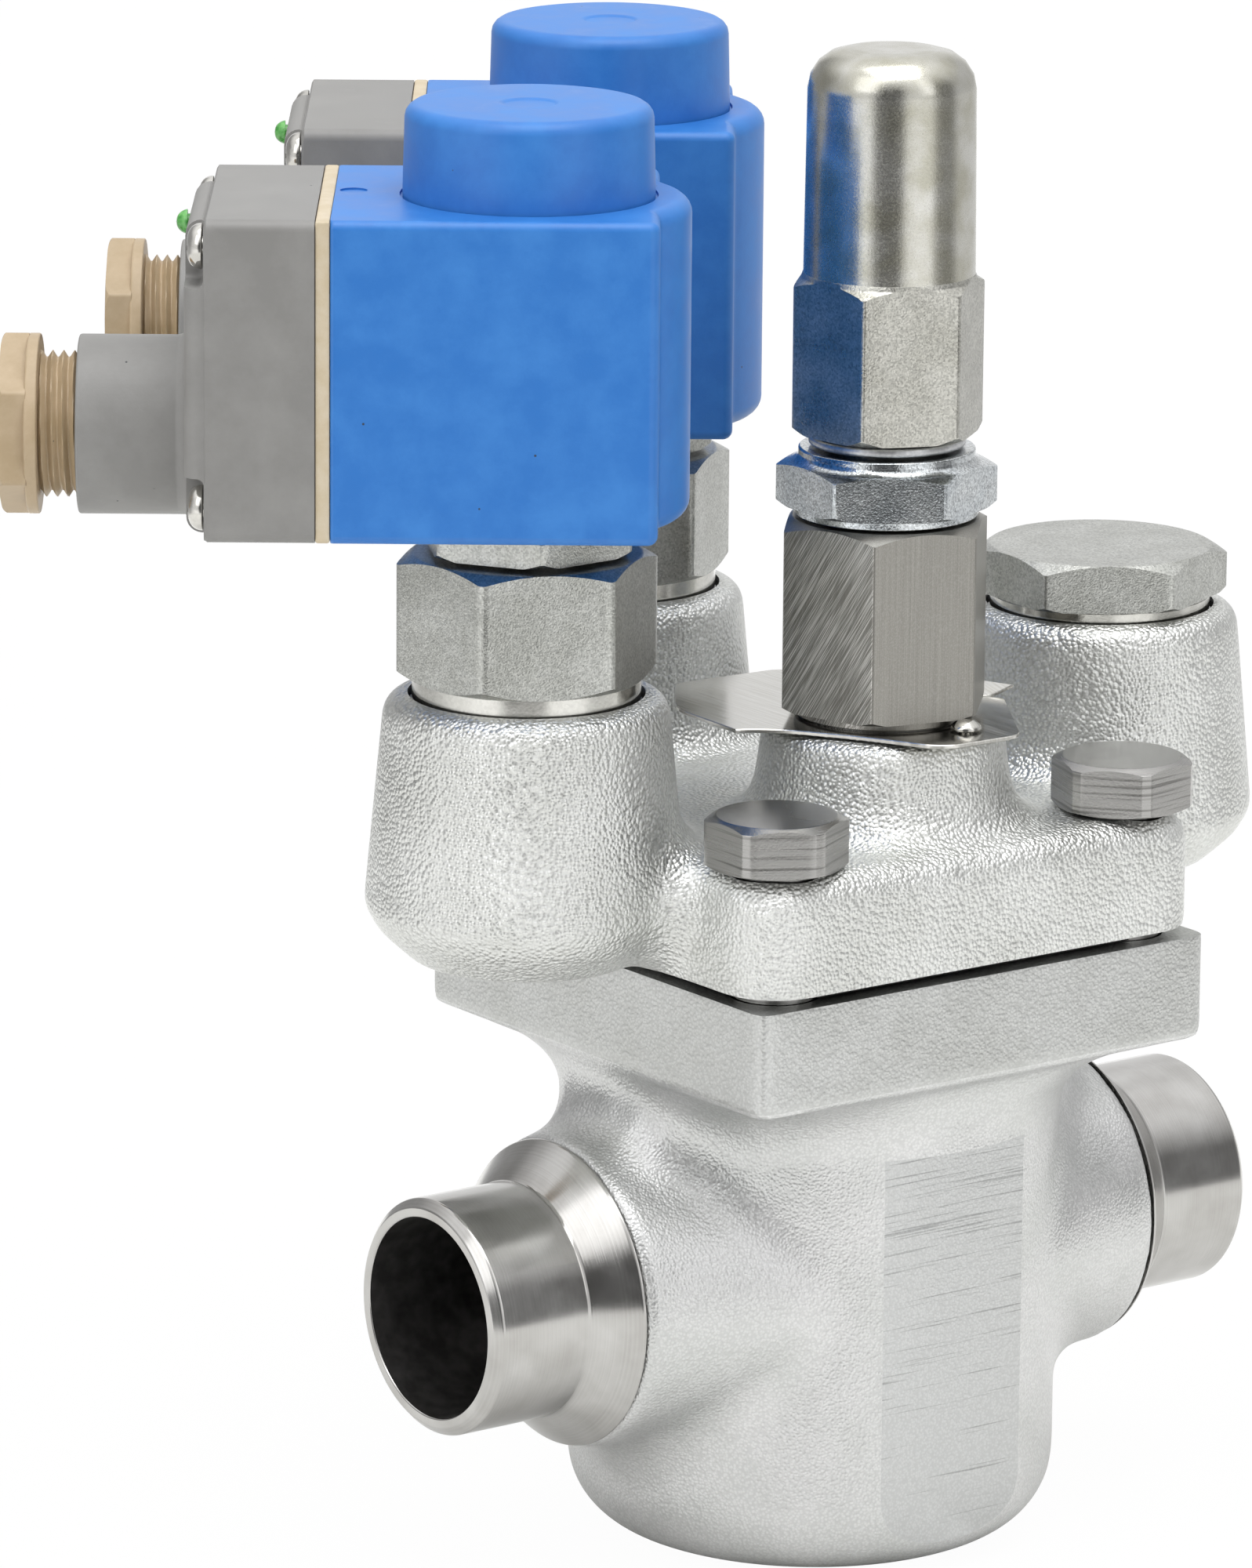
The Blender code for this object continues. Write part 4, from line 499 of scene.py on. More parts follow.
INNER = {  # name: low tone, high tone, metallic, roughness, grain in mm, its height in mm
    "black_nitrile_rubber": ("161616", "232323", 0.0, 0.62, 0.5, 0.010),
    "black_fibre_gasket": ("1B1B1A", "30302E", 0.0, 0.80, 0.35, 0.020),
    "white_ptfe": ("DADAD5", "ECECE8", 0.0, 0.42, 0.8, 0.004),
    "enamelled_copper_wire": ("A4552B", "C87644", 1.0, 0.35, 0.45, 0.030),
    "soft_aluminium": ("B5B6B8", "CACBCC", 1.0, 0.34, 0.6, 0.006),
    "ground_stainless": ("A8A7A4", "BEBDBA", 1.0, 0.22, 0.5, 0.003),
    "spring_steel": ("8B8A88", "A3A2A0", 1.0, 0.28, 0.4, 0.004),
}
inner = {}
for name, (low, high, metallic, gloss, grain, step) in INNER.items():
    finish, tree, shader, place = begin(name, low, metallic, gloss)
    grains = add_node(tree, "TexNoise", {"Vector": place, "Scale": per(grain), "Detail": 2.0})
    tint(tree, shader, grains, low, high)
    relief(tree, shader, [(grains, step)])
    inner[name] = finish
rubber, fibre, ptfe, copper, aluminium, fine_ground, spring_wire = inner.values()
print("materials:", len(bpy.data.materials))

# %% [markdown]
# ## Modelling helpers
# Most pieces of a valve are turned, so an outline is drawn beside the axis, its corners are rounded by a
# vertex bevel, and spin takes it round. A hexagon is what a turned piece shares with a hexagonal bar, which
# leaves the curved chamfer edge that real hexagons have. Booleans also do the drilling, and a voxel remesh
# melts castings into one skin.


# %% Turned and sawn shapes
def rounded(shape, geom, radius_mm, segments, affect="EDGES"):
    """Round edges, or the corners of a wire."""
    bmesh.ops.bevel(shape, geom=geom, offset=radius_mm * MM, segments=segments, profile=0.5, affect=affect,
                    material=-1)
    return shape


def upright_edges(shape):
    """The edges that stand upright."""
    return [e for e in shape.edges if abs(e.verts[0].co.z - e.verts[1].co.z) > MM]


def spun(points, steps=96):
    """A turned solid from (radius, height, rounding) in millimetres. Off the axis the outline closes itself."""
    shape = bmesh.new()
    row = [shape.verts.new((p[0] * MM, 0.0, p[1] * MM)) for p in points]
    pairs = list(zip(row, row[1:]))
    if min(p[0] for p in points) > 0:
        pairs.append((row[-1], row[0]))
    for pair in pairs:
        shape.edges.new(pair)
    for corner, point in zip(row, points):
        if len(point) > 2:
            rounded(shape, [corner], point[2], 4, "VERTICES")
    bmesh.ops.spin(shape, geom=[*shape.verts, *shape.edges], cent=(0, 0, 0), axis=(0, 0, 1),
                   angle=2 * math.pi, steps=steps, use_merge=True)
    bmesh.ops.remove_doubles(shape, verts=shape.verts, dist=0.002 * MM)
    bmesh.ops.recalc_face_normals(shape, faces=shape.faces)
    return shape


def saw(shape, point, outward):
    """Cut away what lies beyond a plane and close the cut."""
    sawn = bmesh.ops.bisect_plane(shape, geom=[*shape.verts, *shape.edges, *shape.faces], dist=0.001 * MM,
                                  plane_co=point, plane_no=outward, clear_outer=True)
    edges = [e for e in sawn["geom_cut"] if isinstance(e, bmesh.types.BMEdge)]
    bmesh.ops.holes_fill(shape, edges=edges, sides=0)


def flats(shape, across_mm, corner_degrees, edge_mm=0.3):
    """Leave what lies inside a tall hexagonal bar; corner_degrees is the direction of one corner."""
    bar = bmesh.new()
    radius = across_mm * MM / math.sqrt(3)
    bmesh.ops.create_cone(bar, cap_ends=True, segments=6, depth=0.8, radius1=radius, radius2=radius)
    bar.verts.ensure_lookup_table()
    first = math.atan2(bar.verts[0].co.y, bar.verts[0].co.x)
    spin = Matrix.Rotation(math.radians(corner_degrees) - first, 4, "Z")
    bmesh.ops.transform(bar, matrix=spin, verts=bar.verts)
    rounded(bar, upright_edges(bar), edge_mm, 3)
    return triangulated(modified(shape, "BOOLEAN", bar, operation="INTERSECT"))


def triangulated(shape):
    """Split the faces of many corners evenly, so that a flat is shaded as a flat."""
    bmesh.ops.triangulate(shape, faces=[f for f in shape.faces if len(f.verts) > 4], quad_method="BEAUTY",
                          ngon_method="BEAUTY")
    return shape


def move(shape, place, matrix=None):
    """Turn a shape, then set it in its place."""
    if matrix is not None:
        bmesh.ops.transform(shape, matrix=matrix, verts=shape.verts)
    bmesh.ops.translate(shape, verts=shape.verts, vec=place)
    return shape


def block(low, high, bevel=0.0, segments=3):
    """A box between two corners in millimetres, with rounded edges where bevel is given."""
    shape = bmesh.new()
    bmesh.ops.create_cube(shape, size=1.0)
    bmesh.ops.scale(shape, verts=shape.verts, vec=[(b - a) * MM for a, b in zip(low, high)])
    bmesh.ops.translate(shape, verts=shape.verts, vec=[(a + b) / 2 * MM for a, b in zip(low, high)])
    return rounded(shape, list(shape.edges), bevel, segments) if bevel else shape


# %% Modifiers on a bmesh, and finishing a piece
def as_object(shape, name):
    """Put a bmesh into the scene as an object, and use it up."""
    mesh = bpy.data.meshes.new(name)
    shape.to_mesh(mesh)
    shape.free()
    item = bpy.data.objects.new(name, mesh)
    bpy.context.scene.collection.objects.link(item)
    return item


def modified(shape, kind, tool=None, **settings):
    """Run a shape through a modifier. A tool is the other solid of a Boolean, and is used up."""
    item = as_object(shape, "blank")
    other = as_object(tool, "tool") if tool is not None else None
    modifier = item.modifiers.new("work", kind)
    for name, value in settings.items():
        setattr(modifier, name, value)
    if other is not None:
        modifier.object = other
        modifier.solver = "MANIFOLD"
    result = bmesh.new()
    result.from_mesh(item.evaluated_get(bpy.context.evaluated_depsgraph_get()).to_mesh())
    for used in filter(None, (item, other)):
        mesh = used.data
        bpy.data.objects.remove(used)
        bpy.data.meshes.remove(mesh)
    return result


def cut(shape, *tools):
    """Take each tool's solid out of a shape."""
    for tool in tools:
        shape = modified(shape, "BOOLEAN", tool, operation="DIFFERENCE")
    return shape


def join(shape, *tools):
    """Make one solid of a shape and its tools."""
    for tool in tools:
        shape = modified(shape, "BOOLEAN", tool, operation="UNION")
    return shape


def paint(shape, slot, faces=None):
    """Give a shape's faces the second, third or later material of its piece."""
    for face in faces or shape.faces:
        face.material_index = slot
    return shape


def piece(shape, name, body, materials, replaces=(), sharp=30.0):
    """Make the finished object: smooth shading with crisp edges, its finish, and the body it rides on."""
    item = as_object(shape, name)
    for material in materials:
        item.data.materials.append(material)
    item.data.shade_smooth()
    item.data.set_sharp_from_angle(angle=math.radians(sharp))
    if len(item.data.polygons) < 30000:
        steady = item.modifiers.new("flat_faces_stay_flat", "WEIGHTED_NORMAL")
        steady.keep_sharp = True
    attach(item, body)
    if replaces:
        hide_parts(*replaces)
    print(f"{name}: {len(item.data.polygons)} faces")
    return item


# %% [markdown]
# ## Forged body
# The real body is a drop forging: a round column on a rounded foot, a barrel swelling along the flow, and a
# square flange, with no sharp inner corner anywhere. Booleans alone would leave hard creases, so the
# overlapping solids are remeshed into one skin, blown up and shrunk again. Blowing up closes the creases, and
# shrinking restores the outside, so only the inner corners keep a radius, as in a forging die. The column and
# the barrel melt first with a wide radius, and then the flange joins them with a smaller one. The machining
# comes afterwards and stays crisp.

# %% Body sizes in millimetres, as in the CAD
FLANGE_TOP, FLANGE_BOTTOM, FLANGE_HALF = 88.9, 73.7, 39.5
BODY_R, FLAT_Y, FLAT_TOP, FOOT_FILLET = 35.0, 32.7, 62.4, 11.0
PIPE_Z, PIPE_BORE_R, PIPE_BOSS_R, BOSS_END = 41.0, 14.25, 22.4, 45.6
PORT_PITCH, SPINDLE_Y, BOLT_PITCH = 51.0, -14.9, 30.6
THREAD_HOLE_R, CLEAR_HOLE_R, PASSAGE_R = 6.3, 6.7, 13.25
COVER_Z, PLATE_TOP, RIM_Z, CENTRE_TOP = 90.4, 107.0, 128.7, 120.7
VOXEL = 0.75


def square_radius(angle, half, corner):
    """Distance from the centre to the outline of a rounded square."""
    folded = abs((angle + math.pi / 4) % (math.pi / 2) - math.pi / 4)
    if half * math.tan(folded) <= half - corner:
        return half / math.cos(folded)
    middle = half - corner
    along = middle * (math.cos(folded) + math.sin(folded))
    return along + math.sqrt(max(along * along - 2 * middle * middle + corner * corner, 0.0))


def skinned(rings):
    """Bridge a stack of rings, each a list of points in millimetres in the same order."""
    shape = bmesh.new()
    loops = []
    for ring in rings:
        made = bmesh.ops.create_circle(shape, cap_ends=False, segments=len(ring), radius=1.0)["verts"]
        for vert, point in zip(made, ring):
            vert.co = Vector(point) * MM
        loops.append(list({e for v in made for e in v.link_edges}))
    for low, high in zip(loops, loops[1:]):
        bmesh.ops.bridge_loops(shape, edges=low + high)
    for end in (loops[0], loops[-1]):
        bmesh.ops.contextual_create(shape, geom=end)
    bmesh.ops.recalc_face_normals(shape, faces=shape.faces)
    return shape


def around(count=72):
    """Angles that divide a full turn."""
    return [2 * math.pi * k / count for k in range(count)]


def squarish(height, half, corner):
    """A level ring between a circle and a rounded square."""
    return [(square_radius(a, half, corner) * math.cos(a), square_radius(a, half, corner) * math.sin(a), height)
            for a in around()]


def oval(x, z, wide, high):
    """An upright ring round the flow's axis."""
    return [(x, wide * math.cos(a), z + high * math.sin(a)) for a in around()]


def merged(*shapes):
    """One bmesh holding several closed shells."""
    for extra in shapes[1:]:
        mesh = bpy.data.meshes.new("shell")
        extra.to_mesh(mesh)
        extra.free()
        shapes[0].from_mesh(mesh)
        bpy.data.meshes.remove(mesh)
    return shapes[0]


def melted(shape, blend_mm, voxel_mm, rounds):
    """Remesh shells into one skin whose inner corners have a radius."""
    size = voxel_mm * MM
    shape = modified(shape, "REMESH", mode="VOXEL", voxel_size=size)
    for sign in (1, -1):
        shape = modified(shape, "DISPLACE", strength=sign * blend_mm * MM, mid_level=0.0)
        shape = modified(shape, "REMESH", mode="VOXEL", voxel_size=size)
    for _ in range(rounds):
        bmesh.ops.smooth_vert(shape, verts=shape.verts, factor=0.5, use_axis_x=True, use_axis_y=True,
                              use_axis_z=True)
    return shape


# %% Forge the body
levels = []
for k in range(7):
    angle = math.radians(-90 + 15 * k)
    radius = BODY_R - FOOT_FILLET * (1 - math.cos(angle))
    levels.append(squarish(FOOT_FILLET * (1 + math.sin(angle)), radius, radius))
levels.append(squarish(FLAT_TOP, BODY_R, BODY_R))
FLARE_HALF, FLARE_CORNER = FLANGE_HALF - 1.5, 7.0
for k in range(1, 9):
    share = k / 8
    eased = 1 - math.sqrt(max(1 - share * share, 0.0))
    levels.append(squarish(FLAT_TOP + (FLANGE_BOTTOM - FLAT_TOP) * share,
                           BODY_R + (FLARE_HALF - BODY_R) * eased, BODY_R + (FLARE_CORNER - BODY_R) * eased))
levels.append(squarish(FLANGE_BOTTOM + 3, FLARE_HALF, FLARE_CORNER))
column = skinned(levels)

sections = []
for k in range(17):
    x = BOSS_END * (k / 8 - 1)
    swell = max(math.cos(math.pi / 2 * x / BOSS_END), 0.0) ** 1.3
    sections.append(oval(x, PIPE_Z, PIPE_BOSS_R + (FLAT_Y - 0.8 - PIPE_BOSS_R) * swell,
                         PIPE_BOSS_R - 1.5 * swell))
barrel = skinned(sections)
flange = block((-FLANGE_HALF, -FLANGE_HALF, FLANGE_BOTTOM), (FLANGE_HALF, FLANGE_HALF, FLANGE_TOP + 1.5))
rounded(flange, upright_edges(flange), 1.6, 4)
forged = melted(merged(column, barrel), 7.0, VOXEL, 2)
body = melted(merged(forged, flange), 4.0, VOXEL, 3)
print("forged:", len(body.faces), "faces")

# %% [markdown]
# ## Machining the body
# The forging is then milled and drilled: two flats on its sides, the flange's top, the faces of the weld
# ends, the chambers for the insert, the two cored passages and four threaded holes. Each tool carries a
# material number, so that the cut face gets the finish of its tool.

# %% Machine the body
FOUR_WAYS = [(sx, sy) for sx in (-1, 1) for sy in (-1, 1)]


def drill(radius, low, high, x=0.0, y=0.0, slot=0, steps=64):
    """A drill as a closed cylinder, in millimetres."""
    tool = spun([(0, high), (radius, high), (radius, low), (0, low)], steps)
    return paint(move(tool, Vector((x, y, 0)) * MM), slot)


def passage(side, inner_x, inner_z, wide, high):
    """A cored way from a pipe bore to its chamber."""
    sections = []
    for k in range(9):
        share = k / 8
        eased = share * share * (3 - 2 * share)
        sections.append(oval(side * (BOSS_END + 1 + (inner_x - BOSS_END - 1) * share),
                             PIPE_Z + (inner_z - PIPE_Z) * eased, PASSAGE_R + (wide - PASSAGE_R) * eased,
                             PASSAGE_R + (high - PASSAGE_R) * eased))
    return paint(skinned(sections), 2)


ALONG_X = Matrix.Rotation(math.pi / 2, 4, "Y")
inside = spun([(0, 90), (29.3, 90), (29.3, 84.7), (27, 84.7), (27, 42), (16.6, 42), (16.6, 36), (24, 36),
               (24, 6), (0, 6)])
saw(body, Vector((0, 0, FLANGE_TOP * MM)), Vector((0, 0, 1)))
for sign in (-1, 1):
    saw(body, Vector((sign * BOSS_END * MM, 0, 0)), Vector((sign, 0, 0)))
    flat_tool = block((-16, FLAT_Y, -1), (16, FLAT_Y + 6, FLAT_TOP))
    if sign < 0:
        move(flat_tool, (0, 0, 0), Matrix.Rotation(math.pi, 4, "Z"))
    body = cut(body, paint(flat_tool, 1))
bores = [move(drill(PIPE_BORE_R, low, high, slot=2), (0, 0, PIPE_Z * MM), ALONG_X)
         for low, high in ((43, 46), (-46, -43))]
body = cut(body, paint(inside, 2), *bores, passage(-1, 21, 25, 16, 9), passage(1, 23, 54, 17, 8))
for sx, sy in FOUR_WAYS:
    body = cut(body, drill(THREAD_HOLE_R, FLANGE_TOP - 13, FLANGE_TOP + 1, sx * BOLT_PITCH, sy * BOLT_PITCH,
                           2, 32))
for face in body.faces:
    middle = face.calc_center_median() / MM
    if face.material_index == 0 and middle.z > FLANGE_BOTTOM + 0.8 and (
            max(abs(middle.x), abs(middle.y)) > FLANGE_HALF - 0.7 or middle.z > FLANGE_TOP - 0.1):
        face.material_index = 3
piece(body, "forged_body", "valve", [forging, milled, dark_bore, ground], ["valve_body"], 34)

# %% [markdown]
# ## Weld ends
# Each pipe end is turned in one setting: a straight stub with a small bevel at its mouth, and a cone up to
# the boss. Its own outline is spun and laid along the flow.

# %% Weld ends
for side, name in ((-1, "inlet"), (1, "outlet")):
    end = spun([(PIPE_BORE_R, 67.5, 0.3), (15.65, 67.5, 0.2), (16.85, 66.3, 0.3), (16.85, 51.6, 0.4),
                (21.9, 45.9, 0.4), (21.9, 45.62), (PIPE_BORE_R, 45.62)], 128)
    for face in end.faces:
        middle = face.calc_center_median() / MM
        if middle.xy.length < 14.5 and middle.z < 66.8:
            face.material_index = 1
    move(end, (0, 0, PIPE_Z * MM), Matrix.Rotation(side * math.pi / 2, 4, "Y"))
    piece(end, name + "_weld_end", "valve", [turned_steel, dark_bore])

# %% [markdown]
# ## Cast cover
# The cover is a sand casting: a rounded square plate, three pilot bosses that bulge out under their rims, and
# a smaller boss for the spindle. It is melted in one go like the body's flange, and then the ports, the
# recess over the piston and the bolt holes are cut.

# %% Cast the cover
PORTS = {"front": Vector((-PORT_PITCH, 0, 0)) * MM, "back": Vector((0, PORT_PITCH, 0)) * MM}
PLUG_PORT = Vector((PORT_PITCH, 0, 0)) * MM
SPINDLE = Vector((0, SPINDLE_Y, 0)) * MM
all_ports = [*PORTS.values(), PLUG_PORT]
plate = block((-FLANGE_HALF, -FLANGE_HALF, COVER_Z - 1), (FLANGE_HALF, FLANGE_HALF, PLATE_TOP))
rounded(plate, upright_edges(plate), 8, 8)
rounded(plate, [e for e in plate.edges if min(v.co.z for v in e.verts) > (PLATE_TOP - 0.1) * MM], 4.5, 6)
bosses = [move(spun([(0, RIM_Z), (19.7, RIM_Z, 2.6), (22.5, COVER_Z + 8.4, 0.7), (20.6, COVER_Z + 5.0, 0.8),
                     (15.5, COVER_Z + 0.4), (0, COVER_Z + 0.4)]), place) for place in all_ports]
centre = move(spun([(0, CENTRE_TOP), (16.9, CENTRE_TOP, 1.2), (18.2, PLATE_TOP + 4, 2.0), (21.4, PLATE_TOP - 1),
                    (0, PLATE_TOP - 1)]), SPINDLE)
cover = melted(merged(plate, *bosses, centre), 3.8, VOXEL, 2)
print("cast:", len(cover.faces), "faces")

# %% Machine the cover
saw(cover, Vector((0, 0, COVER_Z * MM)), Vector((0, 0, -1)))
for place in all_ports:
    port = spun([(0, RIM_Z + 2), (16.5, RIM_Z + 2), (16.5, RIM_Z - 2.7), (14, RIM_Z - 2.7), (14, RIM_Z - 22),
                 (4, RIM_Z - 25), (0, RIM_Z - 25)], 72)
    cover = cut(cover, paint(move(port, place), 1))
cover = cut(cover, drill(20, COVER_Z - 1, COVER_Z + 7.6, slot=1),
            drill(12, CENTRE_TOP - 16.7, CENTRE_TOP + 1, 0, SPINDLE_Y, 1),
            drill(4.6, COVER_Z + 5, CENTRE_TOP - 15, 0, SPINDLE_Y, 1, 32))
for place in all_ports:
    start = place + Vector((0, 0, (RIM_Z - 21.8) * MM))
    end = place.normalized() * 18 * MM + Vector((0, 0, (COVER_Z + 3.5) * MM))
    way = end - start
    way_tool = spun([(0, way.length / MM), (2.5, way.length / MM), (2.5, 0), (0, 0)], 32)
    cover = cut(cover, paint(move(way_tool, start, way.to_track_quat("Z", "Y").to_matrix().to_4x4()), 1))
for sx, sy in FOUR_WAYS:
    cover = cut(cover, drill(CLEAR_HOLE_R, COVER_Z - 1, PLATE_TOP + 1, sx * BOLT_PITCH, sy * BOLT_PITCH,
                             1, 32))
piece(cover, "cast_cover", "valve", [casting, ground], ["top_cover"], 34)

# %% [markdown]
# ## Hexagon pieces
# Bolts, nuts and housings are turned from hexagonal bar. Each is spun with its chamfers first and cut to the
# hexagon afterwards. The chamfer's cone then meets the flats in the arched lines that every real nut shows.

# %% Cover bolts
SEAT = PLATE_TOP + 0.3
BOLT_TURNS = (29.0, 47.0, 11.5, 3.0)  # degrees; each bolt stopped where it was tight
for number, ((sx, sy), turn) in enumerate(zip(FOUR_WAYS, BOLT_TURNS), start=1):
    bolt = spun([(0, SEAT + 7.2), (8.4, SEAT + 7.2, 0.15), (10.0, SEAT + 6.4, 0.1), (10.0, SEAT + 0.4, 0.1),
                 (8.9, SEAT, 0.1), (6, SEAT, 0.3), (6, 77.4), (5, 76.4), (0, 76.4)])
    bolt = flats(bolt, 18.0, turn)
    piece(move(bolt, Vector((sx, sy, 0)) * BOLT_PITCH * MM), f"hexagon_bolt_{number}", "valve",
          [rolled], [f"cover_bolt_{number}"])

# %% Spindle housing, lock nut and sealing ring
HEX_LOW, HEX_TOP = 123.1, 150.1
housing = spun([(4.3, 176.1, 0.1), (7.5, 176.1, 0.1), (8.2, 175.4), (8.2, HEX_TOP, 0.3), (13.1, HEX_TOP, 0.15),
                (15.59, HEX_TOP - 1.4, 0.1), (15.59, HEX_LOW + 0.6, 0.1), (14.6, HEX_LOW, 0.1),
                (12.5, HEX_LOW, 0.2), (12.5, 121.9, 0.2), (11.7, 121.9), (11.7, 104.3), (6, 104.3), (6, 140.4),
                (4.3, 140.4)])
housing = flats(housing, 27.0, 46.3)
piece(move(housing, SPINDLE), "long_hexagon_housing", "valve", [scratched], ["spindle_housing"])

nut = spun([(8.5, 160.0, 0.3), (12.4, 160.0, 0.35), (12.4, 158.7, 0.4), (13.2, 158.1, 0.3), (15.45, 157.2, 0.1),
            (15.45, 152.3, 0.1), (14.2, 151.7, 0.1), (12.9, 151.7, 0.3), (12.9, 150.4, 0.3), (8.5, 150.4)])
nut = flats(nut, 27.0, 24.2)
piece(move(nut, SPINDLE), "hexagon_lock_nut", "valve", [blue_zinc], ["spindle_lock_nut"])

ring = spun([(8.5, 161.7), (11.0, 161.7, 0.5), (11.0, 160.3, 0.5), (8.5, 160.3)])
piece(move(ring, SPINDLE), "cap_sealing_ring", "cap_ring", [aluminium], ["cap_gasket"])

# %% [markdown]
# ## Spindle cap
# The cap is a steel cup drawn over a punch and joined to a hexagon. The dome widens slightly towards its
# foot, its top edge has a generous radius and the top is pressed flat. Two solids make it, so that the drawn
# dome stays smooth where the hexagon is cut.

# %% Cap
CAP_LOW, CAP_HEX_TOP, CAP_TOP = 162.0, 183.9, 216.0
cap = spun([(9.2, CAP_HEX_TOP + 1.0), (11.9, CAP_HEX_TOP + 1.0, 0.3), (12.3, CAP_HEX_TOP, 0.2),
            (13.65, CAP_HEX_TOP - 0.9, 0.3), (13.65, CAP_LOW + 1.0, 0.1), (12.6, CAP_LOW + 0.15, 0.1),
            (8.5, CAP_LOW, 0.1), (8.5, 179.0), (9.2, 180.0)])
cap = flats(cap, 24.0, 37.2)
dome = spun([(0, CAP_TOP), (5.5, CAP_TOP, 0.5), (6.1, CAP_TOP - 0.14, 0.4), (11.65, CAP_TOP - 0.5, 5.0),
             (12.0, CAP_HEX_TOP - 0.4, 0.2), (9.3, CAP_HEX_TOP - 0.4), (9.3, CAP_TOP - 4.9, 2.0),
             (7, CAP_TOP - 2.6), (0, CAP_TOP - 2.6)], 128)
cap = join(cap, paint(dome, 1))
piece(move(cap, SPINDLE), "drawn_cap", "cap", [cap_hexagon, drawn], ["spindle_cap"])

# %% [markdown]
# ## Plug and pilot housings
# Their hexagons of 32 mm have a wide chamfer at the top and a thin turned collar below, which squeezes the
# ring gasket into the port's mouth. The small hexagon over each pilot housing holds the armature's tube.

# %% Blanking plug
def paint_collar(shape, height):
    """The collar under a hexagon is turned after the bar, so it is bright."""
    return paint(shape, 1, [f for f in shape.faces if f.calc_center_median().z < height * MM])


plug = spun([(0, 137.1), (15.9, 137.1, 0.25), (18.48, 135.6, 0.15), (18.48, 130.9, 0.1), (17.3, 130.2, 0.1),
             (15.9, 130.2, 0.3), (15.9, 128.0, 0.2), (13.7, 128.0), (13.7, 113.0), (12.5, 111.8), (0, 111.8)])
plug = paint_collar(flats(plug, 32.0, 25.6, 0.5), 130.1)
piece(move(plug, PLUG_PORT), "hexagon_plug", "valve", [tumbled, bright_collar], ["blanking_plug"])

# %% Pilot housings and tube nuts
for side, port_turn, nut_turn in (("front", 34.4, 1.8), ("back", 36.8, 12.0)):
    shell = spun([(10, 148.5, 0.1), (15.9, 148.5, 0.25), (18.35, 147.2, 0.15), (18.35, 132.3, 0.15),
                  (16.1, 131.0, 0.2), (15.9, 131.0, 0.1), (15.9, 128.0, 0.3), (13.7, 128.0), (13.7, 107.2),
                  (1.5, 107.2), (1.5, 129.7), (6.7, 128.5), (6.7, 146.0), (10, 146.0)])
    shell = paint_collar(flats(shell, 32.0, port_turn, 0.8), 130.9)
    piece(move(shell, PORTS[side]), side + "_hexagon_housing", "valve", [tumbled, bright_collar],
          [side + "_pilot_housing"])
    small = flats(spun([(7.8, 153.4, 0.2), (14.2, 153.4, 0.15), (15.4, 152.7, 0.1), (15.4, 149.8, 0.1),
                        (14.4, 149.1, 0.1), (7.8, 149.1)]), 27.0, nut_turn)
    piece(move(small, PORTS[side]), side + "_hexagon_nut", "valve", [tumbled],
          [side + "_tube_nut"])

# %% [markdown]
# ## Name plate
# A stamped sheet of 0.6 mm, cut to clear the bosses, with one corner bent up as a tab. Its outline is drawn
# as a wire with rounded corners and filled, the tab is pulled out of one edge in three bends, and solidify
# gives the sheet its thickness. A domed drive screw holds it.

# %% Name plate and its screw
SHEET_LOW, SHEET_THICK = 121.0, 0.6
SCREW_Y = SPINDLE_Y - 14.9
outline = [(-13.2, 16.5, 2), (4.8, 15.4, 2), (13.4, -4.6, 0), (17.4, -14.4, 0), (19.8, -17.4, 0.8),
           (7.9, -36.0, 2), (-5.5, -35.6, 3), (-10.5, -25.3, 5), (-18.9, -12.6, 5), (-23.0, -11.0, 1.5),
           (-22.1, 4.5, 3)]
plate_shape = bmesh.new()
row = [plate_shape.verts.new((x * MM, y * MM, SHEET_LOW * MM)) for x, y, _ in outline]
for start, end in zip(row, row[1:] + row[:1]):
    plate_shape.edges.new((start, end))
for corner, (_, _, radius) in zip(row, outline):
    if radius:
        rounded(plate_shape, [corner], radius, 5, "VERTICES")
bmesh.ops.contextual_create(plate_shape, geom=list(plate_shape.edges))
tab_foot = Vector((15.5, -9.5, SHEET_LOW)) * MM
fold = min(plate_shape.edges, key=lambda e: ((e.verts[0].co + e.verts[1].co) / 2 - tab_foot).length)
for out, rise in ((0.28, 0.15), (0.32, 0.5), (0.40, 0.9)):
    grown = bmesh.ops.extrude_edge_only(plate_shape, edges=[fold])["geom"]
    verts = [g for g in grown if isinstance(g, bmesh.types.BMVert)]
    bmesh.ops.translate(plate_shape, verts=verts, vec=Vector((4.66 * out, -2.19 * out, rise)) * MM)
    fold = next(g for g in grown if isinstance(g, bmesh.types.BMEdge))
bmesh.ops.recalc_face_normals(plate_shape, faces=plate_shape.faces)
if sum(f.normal.z * f.calc_area() for f in plate_shape.faces) < 0:
    bmesh.ops.reverse_faces(plate_shape, faces=plate_shape.faces)
bmesh.ops.solidify(plate_shape, geom=list(plate_shape.faces), thickness=SHEET_THICK * MM)
bmesh.ops.recalc_face_normals(plate_shape, faces=plate_shape.faces)
lift = SHEET_LOW * MM - min(v.co.z for v in plate_shape.verts)
bmesh.ops.translate(plate_shape, verts=plate_shape.verts, vec=(0, 0, lift))
plate_shape = cut(plate_shape, drill(12, 119, 125, 0, SPINDLE_Y), drill(1.3, 119, 125, 3.0, SCREW_Y, steps=24))
sharp = [e for e in plate_shape.edges if e.is_manifold and e.calc_face_angle() > math.radians(50)]
rounded(plate_shape, sharp, 0.12, 1)
piece(plate_shape, "stamped_plate", "valve", [sheet], ["name_plate"])
